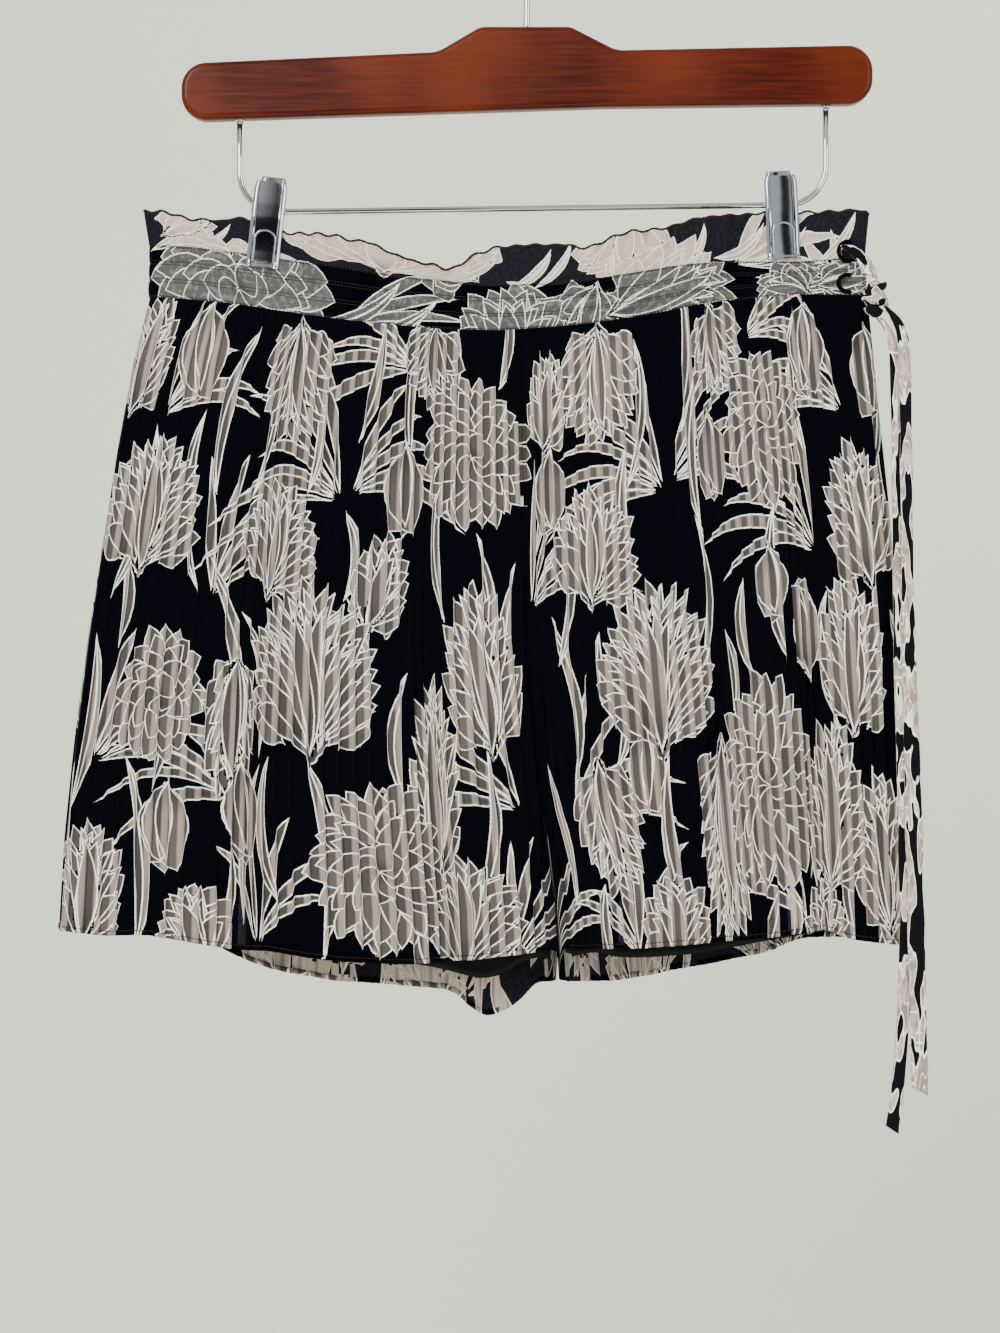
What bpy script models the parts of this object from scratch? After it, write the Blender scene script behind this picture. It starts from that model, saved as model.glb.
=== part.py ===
"""Accordion-pleated shorts with a paper-bag waist, hanging from a wooden clip hanger.

The origin is the seat of the hook, where the rail or nail carries the hanger. +X is the viewer's right,
-Y faces the viewer and +Z is up. Tables are in millimetres and named by their columns.
"""

import math

import bmesh
import bpy
import numpy as np

MM = 0.001

# Cloth
WALL = 1.0
BAND_WALL = 1.5
SEAM_GAP = 0.3
SIDE_GAP = 0.6
SEAM_MARGIN = 1.6
WAIST_GAP = 0.7
FRILL_GAP = 0.5
PLEATS_PER_PANEL = 33
PLEAT_RIDGE_AT = 0.86
PLEAT_DEPTH_WAIST = 1.2
PLEAT_DEPTH_HEM = 2.3
PLEAT_CROWDING = 0.34
CROWDING_REACH = 13.0
SIDE_RADIUS = 13.0
SECTION_STEPS = 700
FOLD_GROWTH = 1.4
WAIST_OPENING = 0.15
INSEAM_Y = -4.0
CLEARS_FROM = 0.8
GATHERS_PER_HALF = 15
BAND_COLUMNS_PER_HALF = 16
BAND_CASINGS = 3
BAND_END = 0.025
CASING_BULGE = 0.8
RUFFLE_GATHER = 0.5
RUFFLE_WAVE = 2.6
RUFFLE_FLARE = 3.0
FRILL_SIDE_FLARE = 1.5
CROTCH_ROW = 0.88
CROTCH_CORNER = 4.0
LEG_GAP = 1.2
LINING_INSET = 2.0
LINING_FOLD_ROOM = 6.5
LINING_CLEARS_FROM = 0.7
LINING_CLEAR = 3.4
LINING_CLEAR_SHARES = (0.4, 0.7, 1.0)
LINING_FOLDS_FROM_SIDE = 40.0
LINING_COLUMNS = 9
FRONT_LINING_RISE = 8.0
SHARP_FROM = 25.0

# Hanger
BAR_THICK = 12.0
BAR_EDGE = 3.0
HOOK_WIRE = 1.75
HOOK_INSIDE = 20.0
CLIP_WIRE = 1.65
WIRE_BEND = 20.0
HOLE_CLEARANCE = 0.3
HOLE_LENGTH = 32.0
HOLE_MIDDLE = 15.0
HOLE_SIDES = 14
NECK_STEPS = 7
NECK_EASE = 9.0
HOOK_STEPS = 25
CLIP_STEEL = 0.9
CLIP_WIDTH = 17.0
CLIP_REACH = 14.0
CLIP_FADE = 24.0
CLIP_PINCH = 2.05
CLIP_GRIP_BELOW = 25.0
GRIP_FADES_FROM = -0.62
GRIP_FADES_OVER = 0.8
BACK_JAW_NARROWER = 1.7
JAW_EDGE = 0.9
JAW_CROWN = 0.35

PANEL_ROWS = (0.0, 0.06, 0.17, 0.34, 0.56, 0.78, 0.88, 1.0)
LINING_ROWS = (0.0, 0.06, 0.34, 0.56, 0.78, 0.88, 1.0)
RUFFLE_ROWS = (-2.0, -1.66, -1.33)

# (x, z) of the lines across the garment, viewer's left to right
RUFFLE_TOP = (
    (-196, -155.2), (-186, -155.6), (-176, -159.4), (-160, -160.3), (-148, -157.6), (-122, -166.0),
    (-104, -167.5), (-92, -170.8), (-80, -172.7), (-65, -180.4), (-38, -187.6), (-30, -182.0),
    (-22, -177.4), (-6, -175.3), (19, -174.7), (31, -176.8), (46, -169.1), (58, -167.0),
    (70, -166.0), (84, -160.8), (110, -156.8), (122, -155.2), (171, -155.2), (179, -156.7),
)
BAND_TOP = (
    (-194, -172.2), (-176, -173.2), (-148, -175.8), (-117, -180.4), (-101, -183.0), (-65, -189.7),
    (-34, -193.3), (-14, -194.8), (17, -193.8), (48, -189.1), (79, -183.5), (110, -180.4),
    (140, -180.4), (174, -178.3),
)
WAIST_SEAM = (
    (-194, -198.9), (-168, -201.0), (-148, -203.0), (-122, -207.2), (-96, -211.3), (-65, -214.9),
    (-45, -216.9), (-14, -218.0), (17, -215.9), (38, -213.3), (63, -209.2), (89, -203.5),
    (120, -199.4), (140, -197.9), (174, -198.4),
)
FRONT_HEM = (
    (-239, -523.0), (-214, -525.1), (-194, -524.1), (-173, -527.2), (-148, -531.8), (-132, -531.3),
    (-112, -534.9), (-96, -536.9), (-65, -538.5), (-50, -538.0), (-24, -535.9), (-4, -533.9),
    (15, -531.6), (32, -530.8), (58, -530.3), (79, -528.7), (112, -526.1), (152, -521.5),
    (163, -526.6), (187, -530.0), (193, -530.3),
)
BACK_HEM = (
    (-239, -523.0), (-194, -525.6), (-168, -530.2), (-143, -542.1), (-129, -546.7), (-104, -550.8),
    (-70, -553.9), (-38, -556.5), (-29, -565.0), (-20, -571.0), (-8, -567.0), (2, -560.6),
    (8, -552.4), (47, -551.9), (72, -546.7), (95, -543.1), (126, -535.9), (143, -529.0),
    (166, -528.5), (193, -530.3),
)
LINING_HEM = (
    (-239, -517.0), (-150, -526.0), (-117, -534.4), (-83, -540.5), (-52, -543.1), (-33, -547.7),
    (-23, -550.3), (-8, -548.0), (3, -541.0), (30, -536.0), (47, -539.0), (62, -539.0),
    (90, -536.9), (118, -531.3), (143, -526.7), (193, -519.0),
)

# (share of the way from the waist seam to the hem, x) of the two sides and the centre seam
LEFT_SIDE = (
    (0.0, -194.0), (0.10, -202.2), (0.24, -210.4), (0.40, -218.2), (0.54, -224.8), (0.70, -231.0),
    (0.86, -236.2), (1.0, -239.2),
)
RIGHT_SIDE = (
    (0.0, 174.0), (0.16, 179.0), (0.31, 184.2), (0.47, 188.3), (0.62, 190.4), (0.78, 191.9),
    (1.0, 193.4),
)
CENTRE_SEAM = ((0.0, -3.6), (0.50, -0.5), (0.73, 5.7), (0.92, 14.4), (1.0, 16.0))

# (x, depth at the band's top, at the waist seam, at the hem) from the side seams' plane
FRONT_DEPTH = (
    (-240, 5.0, 6.0, 13.0), (-190, 5.5, 6.5, 23.0), (-134, 7.0, 9.0, 30.0), (-100, 10.0, 12.0, 30.0),
    (-50, 17.0, 18.0, 29.0), (0, 20.0, 21.0, 29.0), (50, 17.0, 18.0, 29.0), (100, 10.0, 12.0, 30.0),
    (130, 7.0, 9.0, 29.0), (165, 5.5, 6.5, 20.0), (195, 5.0, 6.0, 13.0),
)
BACK_DEPTH = (
    (-240, 5.0, 6.0, 10.0), (-190, 5.5, 6.5, 13.0), (-100, 8.0, 9.0, 17.0), (0, 13.0, 14.0, 19.0),
    (100, 8.0, 9.0, 17.0), (165, 5.5, 6.5, 13.0), (195, 5.0, 6.0, 10.0),
)

# (x at the waist, x at the hem, depth, half width) of the long folds that fall from the band
FRONT_FOLDS = (
    (-124, -150, 6.0, 9.0), (-62, -42, 6.0, 8.0), (-4, 13, 5.0, 8.0), (92, 97, 5.5, 9.0),
    (128, 152, 5.5, 8.0),
)
BACK_FOLDS = (
    (-150, -188, 4.5, 9.0), (-84, -98, 5.5, 9.0), (-34, -36, 4.0, 8.0), (52, 66, 5.5, 9.0),
    (104, 122, 5.0, 9.0),
)

# (x, z, corner radius) round the wooden bar
BAR_OUTLINE = (
    (-177.5, -79.0, 13.0), (-46.0, -72.9, 15.0), (-24.0, -60.0, 9.0), (22.5, -60.0, 9.0),
    (46.0, -72.0, 15.0), (177.5, -69.3, 13.0), (177.5, -99.6, 13.0), (37.6, -101.3, 0.0),
    (-177.5, -108.4, 13.0),
)
HOOK_STEM = (-80.0, -48.0)
HOOK_ANGLES = (-38.0, 202.0)
WIRE_LEGS = (-147.7, 153.8)
WIRE_TOPS = (-92.0, -86.0)
WIRE_BAR = (-154.9, -150.6)

# (name, x where it hangs on the wire, lean from upright in degrees, length under the wire)
CLIPS = (("left", -132.8, 6.6, 29.0), ("right", 130.6, -2.9, 28.0))
# (share of the length, depth of the plate from the mid-plane, depth of its side flanges)
FRONT_JAW = (
    (-0.52, 4.7, 1.2), (-0.30, 5.3, 2.4), (-0.13, 5.7, 3.2), (0.13, 5.7, 3.2), (0.36, 5.2, 2.6),
    (0.70, 3.9, 1.2), (0.92, 3.4, 1.0), (1.0, 4.2, 0.9),
)
BACK_JAW = (
    (-0.66, 7.4, 1.0), (-0.42, 6.4, 1.6), (-0.13, 5.6, 3.1), (0.13, 5.6, 3.1), (0.36, 5.2, 2.4),
    (0.70, 3.9, 1.2), (0.92, 3.4, 1.0), (1.0, 4.2, 0.9),
)

# Tie at the viewer's right: (x, y, z) along each strip, its width, and its turn about its length
TIE_THICK = 1.2
TIE_NARROWS = 0.72
TIE_END_SLOPE = 2.2
TIE_BOW = 0.35
TIE_STRAP = (
    (163.0, -11.6, -173.4), (166.5, -11.6, -176.0), (170.5, -11.2, -179.6), (173.6, -10.6, -184.0),
    (175.2, -9.8, -188.6),
)
TIE_INNER = (
    (180.2, -8.9, -210.1), (184.5, -11.5, -217.0), (187.0, -13.5, -228.0), (187.8, -14.6, -255.0),
    (188.4, -16.0, -303.0), (188.6, -17.4, -355.0), (190.0, -18.6, -415.0), (191.6, -19.4, -470.0),
    (192.2, -19.4, -530.0), (190.6, -18.6, -572.0), (188.2, -18.0, -604.0), (185.4, -17.6, -624.0),
)
TIE_OUTER = (
    (181.5, -14.4, -205.0), (188.2, -14.6, -212.0), (191.4, -16.6, -224.0), (192.4, -17.6, -255.0),
    (192.8, -18.8, -310.0), (193.4, -20.2, -370.0), (195.0, -21.2, -430.0), (196.4, -22.0, -490.0),
    (197.6, -22.0, -545.0), (198.6, -21.4, -580.0), (199.0, -21.0, -604.0),
)
# (name, path, width, turn of its width in degrees at the start and at the end)
TIE_STRIPS = (
    ("tie_strap", TIE_STRAP, 8.0, -6.0, -6.0), ("tie_end_inner", TIE_INNER, 6.6, -4.0, -2.0),
    ("tie_end_outer", TIE_OUTER, 8.6, -3.0, 3.0),
)
KNOT_AT = (178.2, -8.3, -200.4)
KNOT_HALF = (5.6, 5.2, 9.6)
KNOT_SIDES = 14
KNOT_RINGS = 9
KNOT_TURN_SWELL = 0.13
KNOT_TURN_RATE = 7.0
KNOT_FOLD_SWELL = 0.05
KNOT_FOLDS = 4.0
LOOP_CORD = 0.9
# (name, x, z, half height, reach, y of the upper end, y of the lower end) of the thread carriers
LOOPS = (("upper", 164.6, -175.9, 5.0, 5.2, -7.8, -7.0), ("lower", 164.6, -192.3, 4.4, 5.4, -7.4, -8.0))
LOOP_ARCH = 1.4
LOOP_ANGLES = (80.0, 280.0)
LOOP_STEPS = 11


def smooth_step(value):
    share = np.clip(value, 0.0, 1.0)
    return share * share * (3.0 - 2.0 * share)


def along(table, x, column=1, soften=7.0):
    """A table's column at x, with its corners rounded."""
    known = np.array(table, dtype=float)
    steps = np.linspace(-soften, soften, 5)
    near = [np.interp(x + step, known[:, 0], known[:, column]) for step in steps]
    return np.mean(near, axis=0)


def clip_share(x):
    """1 where a clip holds the cloth, 0 well away from both."""
    share = 0.0
    for _, clip_x, lean, _ in CLIPS:
        grip_x = clip_x - CLIP_GRIP_BELOW * math.sin(math.radians(lean))
        away = np.abs(x - grip_x)
        share = np.maximum(share, 1.0 - smooth_step((away - CLIP_REACH) / CLIP_FADE))
    return share


def fold_depth(folds, x, level):
    """How far the long folds draw the cloth in."""
    depth = np.zeros_like(x)
    for waist_x, hem_x, deep, half_width in folds:
        middle = waist_x + (hem_x - waist_x) * level
        depth += deep * np.exp(-(((x - middle) / half_width) ** 2))
    return depth * smooth_step(level * FOLD_GROWTH)


def depth_at(face, x, level, folds=True):
    """Depth of a face from the side seams' plane. Level -2 is the frill's edge, -1 the band's top,
    0 the waist seam and 1 the hem."""
    table = FRONT_DEPTH if face == "front" else BACK_DEPTH
    top = along(table, x, 1) + RUFFLE_FLARE * max(0.0, -1.0 - level)
    waist = along(table, x, 2)
    hem = along(table, x, 3)
    upper = top + (waist - top) * smooth_step(level + 1.0)
    opened = smooth_step(WAIST_OPENING + (1.0 - WAIST_OPENING) * level) * (level > 0.0)
    depth = upper + (hem - upper) * opened
    held = clip_share(x) * (1.0 - smooth_step((level - GRIP_FADES_FROM) / GRIP_FADES_OVER))
    depth = depth + (CLIP_PINCH - depth) * held
    if folds and level > 0.0:
        depth = depth - fold_depth(FRONT_FOLDS if face == "front" else BACK_FOLDS, x, level)
    return depth


def height_at(face, x, level, lining=False):
    """Height of a line across the garment."""
    if level <= 0.0:
        lower, upper = (WAIST_SEAM, BAND_TOP) if level >= -1.0 else (BAND_TOP, RUFFLE_TOP)
        share = -level if level >= -1.0 else -level - 1.0
        base = along(lower, x)
        return base + (along(upper, x, soften=4.0) - base) * share
    hem = along(FRONT_HEM if face == "front" else BACK_HEM, x, soften=4.0)
    if lining:
        hem = hem + FRONT_LINING_RISE if face == "front" else along(LINING_HEM, x, soften=4.0)
    return along(WAIST_SEAM, x) * (1.0 - level) + hem * level


def edges_at(side, level):
    table = LEFT_SIDE if side == "left" else RIGHT_SIDE
    down = max(level, 0.0)
    flare = FRILL_SIDE_FLARE * max(0.0, -1.0 - level)
    side_x = float(np.interp(down, *np.array(table).T))
    centre_x = float(np.interp(down, *np.array(CENTRE_SEAM).T))
    outward = -1.0 if side == "left" else 1.0
    return side_x + outward * flare, centre_x


def middle_y(level):
    return INSEAM_Y * smooth_step(level)


def half_section(side, face, level, places, relief, inset=0.0, seam=True, lining=False):
    """Points round half of one face, side seam to centre, at shares of its length given by places and
    moved out by relief, with a plain margin at each seam."""
    side_x, centre_x = edges_at(side, level)
    away = -1.0 if face == "front" else 1.0
    across = 1.0 - np.cos(np.linspace(0.0, math.pi / 2.0, SECTION_STEPS))
    x = side_x + (centre_x - side_x) * across
    depth = depth_at(face, x, level, folds=not lining)
    if lining:
        from_side = smooth_step(np.abs(x - side_x) / LINING_FOLDS_FROM_SIDE)
        depth = depth - LINING_FOLD_ROOM * smooth_step(level * FOLD_GROWTH) * from_side
    middle = middle_y(level)
    radius = min(SIDE_RADIUS, depth[0] - away * middle)
    turn = np.clip(np.abs(x - side_x) / radius, 0.0, 1.0)
    y = middle + (away * depth - middle) * np.sqrt(1.0 - (1.0 - turn) ** 2)
    length = np.concatenate(([0.0], np.cumsum(np.hypot(np.diff(x), np.diff(y)))))
    start, stop = SIDE_GAP / 2.0, length[-1] - SEAM_GAP / 2.0 * seam
    first, last = start + SEAM_MARGIN, stop - SEAM_MARGIN * seam
    wanted = np.concatenate(([start], first + (last - first) * np.asarray(places), [stop] * seam))
    normal_x, normal_y = np.gradient(y, length), -np.gradient(x, length)
    facing = 1.0 if (side == "left") == (face == "front") else -1.0
    out = np.concatenate(([relief[0]], relief, [relief[-1]] * seam)) - inset
    here_x = np.interp(wanted, length, x)
    here_z = height_at(face, here_x, level, lining)
    px = here_x + facing * out * np.interp(wanted, length, normal_x)
    py = np.interp(wanted, length, y) + facing * out * np.interp(wanted, length, normal_y)
    return np.column_stack([px, py, here_z])


def inner_leg(side, face, level, last, lining=False):
    """Points from the end of a leg's face round the inner corner to the inseam."""
    inward = 1.0 if side == "left" else -1.0
    away = -1.0 if face == "front" else 1.0
    middle = middle_y(level) + INSEAM_Y
    radius = CROTCH_CORNER
    centre_y = last[1] - away * radius
    front_z = float(height_at("front", last[0], level, lining))
    back_z = float(height_at("back", last[0], level, lining))
    turns = [math.radians(angle) for angle in (30.0, 60.0, 90.0)]
    places = []
    for turn in turns:
        turn_x = last[0] + inward * radius * math.sin(turn)
        places.append((turn_x, centre_y + away * radius * math.cos(turn)))
    wall_x = places[-1][0]
    seam_y = middle + away * SEAM_GAP / 2.0
    places.append((wall_x, (places[-1][1] + seam_y) / 2.0))
    places.append((wall_x, seam_y))
    middle_z = (front_z + back_z) / 2.0
    reach = abs(last[1] - middle)
    own_z = front_z if face == "front" else back_z
    return [(x, y, middle_z + (own_z - middle_z) * abs(y - middle) / reach) for x, y in places]


def pleat_places(side, face, count):
    """Shares along a panel of each pleat's valley and ridge, closer together at the long folds."""
    folds = FRONT_FOLDS if face == "front" else BACK_FOLDS
    side_x, centre_x = edges_at(side, 0.5)
    widths = []
    for index in range(count):
        x = side_x + (centre_x - side_x) * (index + 0.5) / count
        nearest = min(abs(x - (fold[0] + fold[1]) / 2.0) for fold in folds)
        widths.append(1.0 - PLEAT_CROWDING * math.exp(-((nearest / CROWDING_REACH) ** 2)))
    starts = np.concatenate(([0.0], np.cumsum(widths))) / sum(widths)
    places = []
    for start, end in zip(starts[:-1], starts[1:]):
        places += [start, start + (end - start) * PLEAT_RIDGE_AT]
    return places + [1.0]


def add_cloth(name, rows, outward, wall, material):
    """A wall of cloth through rows of points. A row is (head, body, tail): head and tail are the crotch
    extensions, which only some rows have."""
    mesh = bmesh.new()
    made = [[[mesh.verts.new([c * MM for c in p]) for p in part] for part in row] for row in rows]

    def join(corners):
        mesh.faces.new(corners if outward else corners[::-1])

    for upper, lower in zip(made[:-1], made[1:]):
        top_row, bottom_row = upper[1], lower[1]
        for index in range(len(top_row) - 1):
            join([top_row[index], bottom_row[index], bottom_row[index + 1], top_row[index + 1]])
        for part, end in ((0, 0), (2, -1)):
            top = [upper[1][end]] + upper[part]
            bottom = [lower[1][end]] + lower[part]
            for place in range(len(bottom) - 1):
                corners = [top[min(place, len(top) - 1)], bottom[place], bottom[place + 1]]
                if len(top) > 1:
                    corners.append(top[place + 1])
                if part == 0:
                    corners = corners[::-1]
                join(corners)
    data = bpy.data.meshes.new(name)
    mesh.to_mesh(data)
    mesh.free()
    piece = bpy.data.objects.new(name, data)
    shell = piece.modifiers.new("wall", "SOLIDIFY")
    shell.thickness = wall * MM
    shell.offset = -1.0
    shell.use_even_offset = True
    shell.use_quality_normals = True
    data.shade_smooth()
    data.set_sharp_from_angle(angle=math.radians(SHARP_FROM))
    finish(piece, material)


def leg_panel(side, face):
    places = pleat_places(side, face, PLEATS_PER_PANEL)
    sawtooth = np.array([place % 2 for place in range(len(places))], dtype=float)
    rows = []
    for level in PANEL_ROWS:
        deep = PLEAT_DEPTH_WAIST + (PLEAT_DEPTH_HEM - PLEAT_DEPTH_WAIST) * level
        body = half_section(side, face, level, places, sawtooth * deep)
        body[:, 2] -= WAIST_GAP / 2.0 * (level == 0.0)
        tail = []
        if level >= CROTCH_ROW:
            body[:, 0] = clear_of_centre(side, level, body[:, 0])
            tail = inner_leg(side, face, level, body[-1])
        rows.append(([], list(body), tail))
    outward = (side == "left") == (face == "front")
    add_cloth(f"{face}_{side}", rows, outward, WALL, "chiffon")


def clear_of_centre(side, level, x):
    """Moves the last pleats of a leg back, so that its inner corner stays on its own side."""
    side_x, centre_x = edges_at(side, level)
    part = LEG_GAP / 2.0 * (level - CROTCH_ROW) / (1.0 - CROTCH_ROW)
    room = CROTCH_CORNER + part
    share = (x - side_x) / (centre_x - side_x)
    away = 1.0 if side == "left" else -1.0
    return x - away * room * np.clip((share - CLEARS_FROM) / (1.0 - CLEARS_FROM), 0.0, 1.0)


def leg_lining(side):
    """One plain piece from the centre front round the side to the centre back."""
    places = 1.0 - np.cos(np.linspace(0.0, math.pi / 2.0, LINING_COLUMNS))
    flat = np.zeros(len(places))
    rows = []
    for level in LINING_ROWS:
        parts = {}
        for face in ("front", "back"):
            body = half_section(side, face, level, places, flat, inset=LINING_INSET, lining=True)
            body[:, 2] -= WAIST_GAP / 2.0 * (level == 0.0)
            tail = []
            if level >= LINING_CLEARS_FROM:
                inner = 1.0 if side == "left" else -1.0
                body[-3:, 0] -= inner * LINING_CLEAR * np.array(LINING_CLEAR_SHARES)
            if level >= CROTCH_ROW:
                body[:, 0] = clear_of_centre(side, level, body[:, 0])
                tail = inner_leg(side, face, level, body[-1], lining=True)
            parts[face] = (list(body), tail)
        front, back = parts["front"], parts["back"]
        side_point = (np.array(front[0][0]) + np.array(back[0][0])) / 2.0
        body = front[0][:0:-1] + [side_point] + back[0][1:]
        rows.append((front[1], body, back[1]))
    add_cloth(f"lining_{side}", rows, side == "right", WALL, "lining")


def strip_across(name, face, places, levels, relief_at, wall, material):
    """A strip across one face, side seam to side seam. levels are rows of (level, lift), and relief_at
    gives the relief of every column at a level."""
    rows = []
    for level, lift in levels:
        halves = []
        for side in ("left", "right"):
            side_x, centre_x = edges_at(side, level)
            free = 1.0 - clip_share(side_x + (centre_x - side_x) * places)
            half = half_section(side, face, level, places, relief_at(level) * free, seam=False)
            half[:, 2] += lift
            halves.append(half)
        rows.append(([], list(halves[0]) + list(halves[1][-2::-1]), []))
    add_cloth(name, rows, face == "front", wall, material)


def waistband(face):
    """Elastic casings between rows of stitching."""
    places = np.concatenate(([0.0, BAND_END], np.linspace(0.0, 1.0, BAND_COLUMNS_PER_HALF)[1:]))
    steps = 2 * BAND_CASINGS
    levels = [(-1.0 + step / steps, 0.0) for step in range(steps + 1)]
    levels[0] = (-1.0, -FRILL_GAP / 2.0)
    levels[-1] = (0.0, WAIST_GAP / 2.0)

    def relief_at(level):
        bulge = CASING_BULGE * abs(math.sin(math.pi * BAND_CASINGS * (level + 1.0)))
        return np.full(len(places), bulge)

    strip_across(f"waistband_{face}", face, places, levels, relief_at, BAND_WALL, "chiffon_band")


def ruffle(face):
    """The frill above the band, its waves growing towards its free edge."""
    count = 2 * GATHERS_PER_HALF
    places = np.linspace(0.0, 1.0, count + 1)
    wave = np.array([place % 2 for place in range(count + 1)], dtype=float)
    levels = [(level, 0.0) for level in RUFFLE_ROWS] + [(-1.0, FRILL_GAP / 2.0)]

    def relief_at(level):
        return (RUFFLE_GATHER + (RUFFLE_WAVE - RUFFLE_GATHER) * (-1.0 - level)) * wave

    strip_across(f"ruffle_{face}", face, places, levels, relief_at, WALL, "chiffon_frill")


def add_tube(name, points, radius, resolution, material):
    """A round wire or cord through points."""
    curve = bpy.data.curves.new(name, "CURVE")
    curve.dimensions = "3D"
    curve.bevel_depth = radius * MM
    curve.bevel_resolution = resolution
    curve.use_fill_caps = True
    spline = curve.splines.new("POLY")
    spline.points.add(len(points) - 1)
    for place, point in zip(spline.points, points):
        place.co = (*[c * MM for c in point], 1.0)
    spline.use_smooth = True
    finish(bpy.data.objects.new(name, curve), material)


def rounded(corners, steps=5):
    """A path through (x, z, radius) corners, each replaced by an arc where its radius isn't 0."""
    points = []
    total = len(corners)
    for index, (x, z, radius) in enumerate(corners):
        here = np.array([x, z])
        back = np.array(corners[index - 1][:2]) - here
        ahead = np.array(corners[(index + 1) % total][:2]) - here
        back, ahead = back / np.linalg.norm(back), ahead / np.linalg.norm(ahead)
        half = math.acos(max(-1.0, min(1.0, float(back @ ahead)))) / 2.0
        if radius == 0.0 or half > math.radians(89.0):
            points.append(here)
            continue
        run = radius / math.tan(half)
        start, end = here + back * run, here + ahead * run
        middle = here + (back + ahead) / np.linalg.norm(back + ahead) * radius / math.sin(half)
        for step in range(steps + 1):
            share = step / steps
            chord = start + (end - start) * share - middle
            points.append(middle + chord / np.linalg.norm(chord) * radius)
    return points


def hanger_bar():
    curve = bpy.data.curves.new("hanger_bar", "CURVE")
    curve.dimensions = "2D"
    curve.fill_mode = "BOTH"
    curve.extrude = (BAR_THICK / 2.0 - BAR_EDGE) * MM
    curve.bevel_depth = BAR_EDGE * MM
    curve.bevel_resolution = 1
    curve.offset = -BAR_EDGE * MM
    outline = rounded(BAR_OUTLINE)
    spline = curve.splines.new("POLY")
    spline.points.add(len(outline) - 1)
    for place, (x, z) in zip(spline.points, outline):
        place.co = (x * MM, z * MM, 0.0, 1.0)
    spline.use_cyclic_u = True
    drawn = bpy.data.objects.new("bar_outline", curve)
    drawn.rotation_euler = (math.pi / 2.0, 0.0, 0.0)
    finish(drawn, "wood")
    piece = as_mesh(drawn, "hanger_bar", "wood")
    drill(piece, "stem_hole", (0.0, 0.0, HOOK_STEM[0] + HOLE_MIDDLE), HOOK_WIRE, HOLE_LENGTH)
    for x, top in zip(WIRE_LEGS, WIRE_TOPS):
        drill(piece, f"leg_hole_{x:.0f}", (x, 0.0, top - HOLE_MIDDLE), CLIP_WIRE, HOLE_LENGTH)


def as_mesh(drawn, name, material):
    """The evaluated mesh of a curve object, which then takes Booleans."""
    bpy.context.view_layer.update()
    seen = drawn.evaluated_get(bpy.context.evaluated_depsgraph_get())
    data = bpy.data.meshes.new_from_object(seen)
    welded = bmesh.new()
    welded.from_mesh(data)
    bmesh.ops.remove_doubles(welded, verts=welded.verts, dist=1e-6)
    welded.to_mesh(data)
    welded.free()
    piece = bpy.data.objects.new(name, data)
    piece.matrix_world = drawn.matrix_world
    bpy.data.objects.remove(drawn)
    data.materials.clear()
    finish(piece, material)
    return piece


def drill(piece, name, middle, radius, length):
    """An upright round hole with clearance for a wire."""
    tool = bmesh.new()
    bmesh.ops.create_cone(
        tool, cap_ends=True, segments=HOLE_SIDES, radius1=(radius + HOLE_CLEARANCE) * MM,
        radius2=(radius + HOLE_CLEARANCE) * MM, depth=length * MM,
    )
    data = bpy.data.meshes.new(name)
    tool.to_mesh(data)
    tool.free()
    cutter = bpy.data.objects.new(name, data)
    cutter.location = [c * MM for c in middle]
    cutter.hide_render = True
    cutter.display_type = "WIRE"
    CUTTERS.objects.link(cutter)
    cut = piece.modifiers.new(name, "BOOLEAN")
    cut.operation = "DIFFERENCE"
    cut.solver = "EXACT"
    cut.object = cutter


def hanger_hook():
    low, neck = HOOK_STEM
    reach = HOOK_INSIDE + HOOK_WIRE
    centre_z = -HOOK_INSIDE
    first, last = (math.radians(angle) for angle in HOOK_ANGLES)
    meet = np.array([reach * math.cos(first), centre_z + reach * math.sin(first)])
    heading = np.array([-math.sin(first), math.cos(first)])
    start = np.array([0.0, neck])
    points = [(0.0, 0.0, low), (0.0, 0.0, (low + neck) / 2.0)]
    for step in range(NECK_STEPS):
        share = step / NECK_STEPS
        hold_up = start + np.array([0.0, NECK_EASE])
        hold_on = meet - heading * NECK_EASE
        place = (
            (1 - share) ** 3 * start + 3 * share * (1 - share) ** 2 * hold_up
            + 3 * share**2 * (1 - share) * hold_on + share**3 * meet
        )
        points.append((place[0], 0.0, place[1]))
    for angle in np.linspace(first, last, HOOK_STEPS):
        points.append((reach * math.cos(angle), 0.0, centre_z + reach * math.sin(angle)))
    add_tube("hanger_hook", points, HOOK_WIRE, 2, "chrome")


def wire_z(x):
    return float(np.interp(x, WIRE_LEGS, WIRE_BAR))


def hanger_wire():
    left, right = WIRE_LEGS
    corners = (
        (left, WIRE_TOPS[0], 0.0), (left, wire_z(left), WIRE_BEND), (right, wire_z(right), WIRE_BEND),
        (right, WIRE_TOPS[1], 0.0),
    )
    add_tube("hanger_wire", [(x, 0.0, z) for x, z in rounded(corners, 7)], CLIP_WIRE, 2, "chrome")


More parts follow.
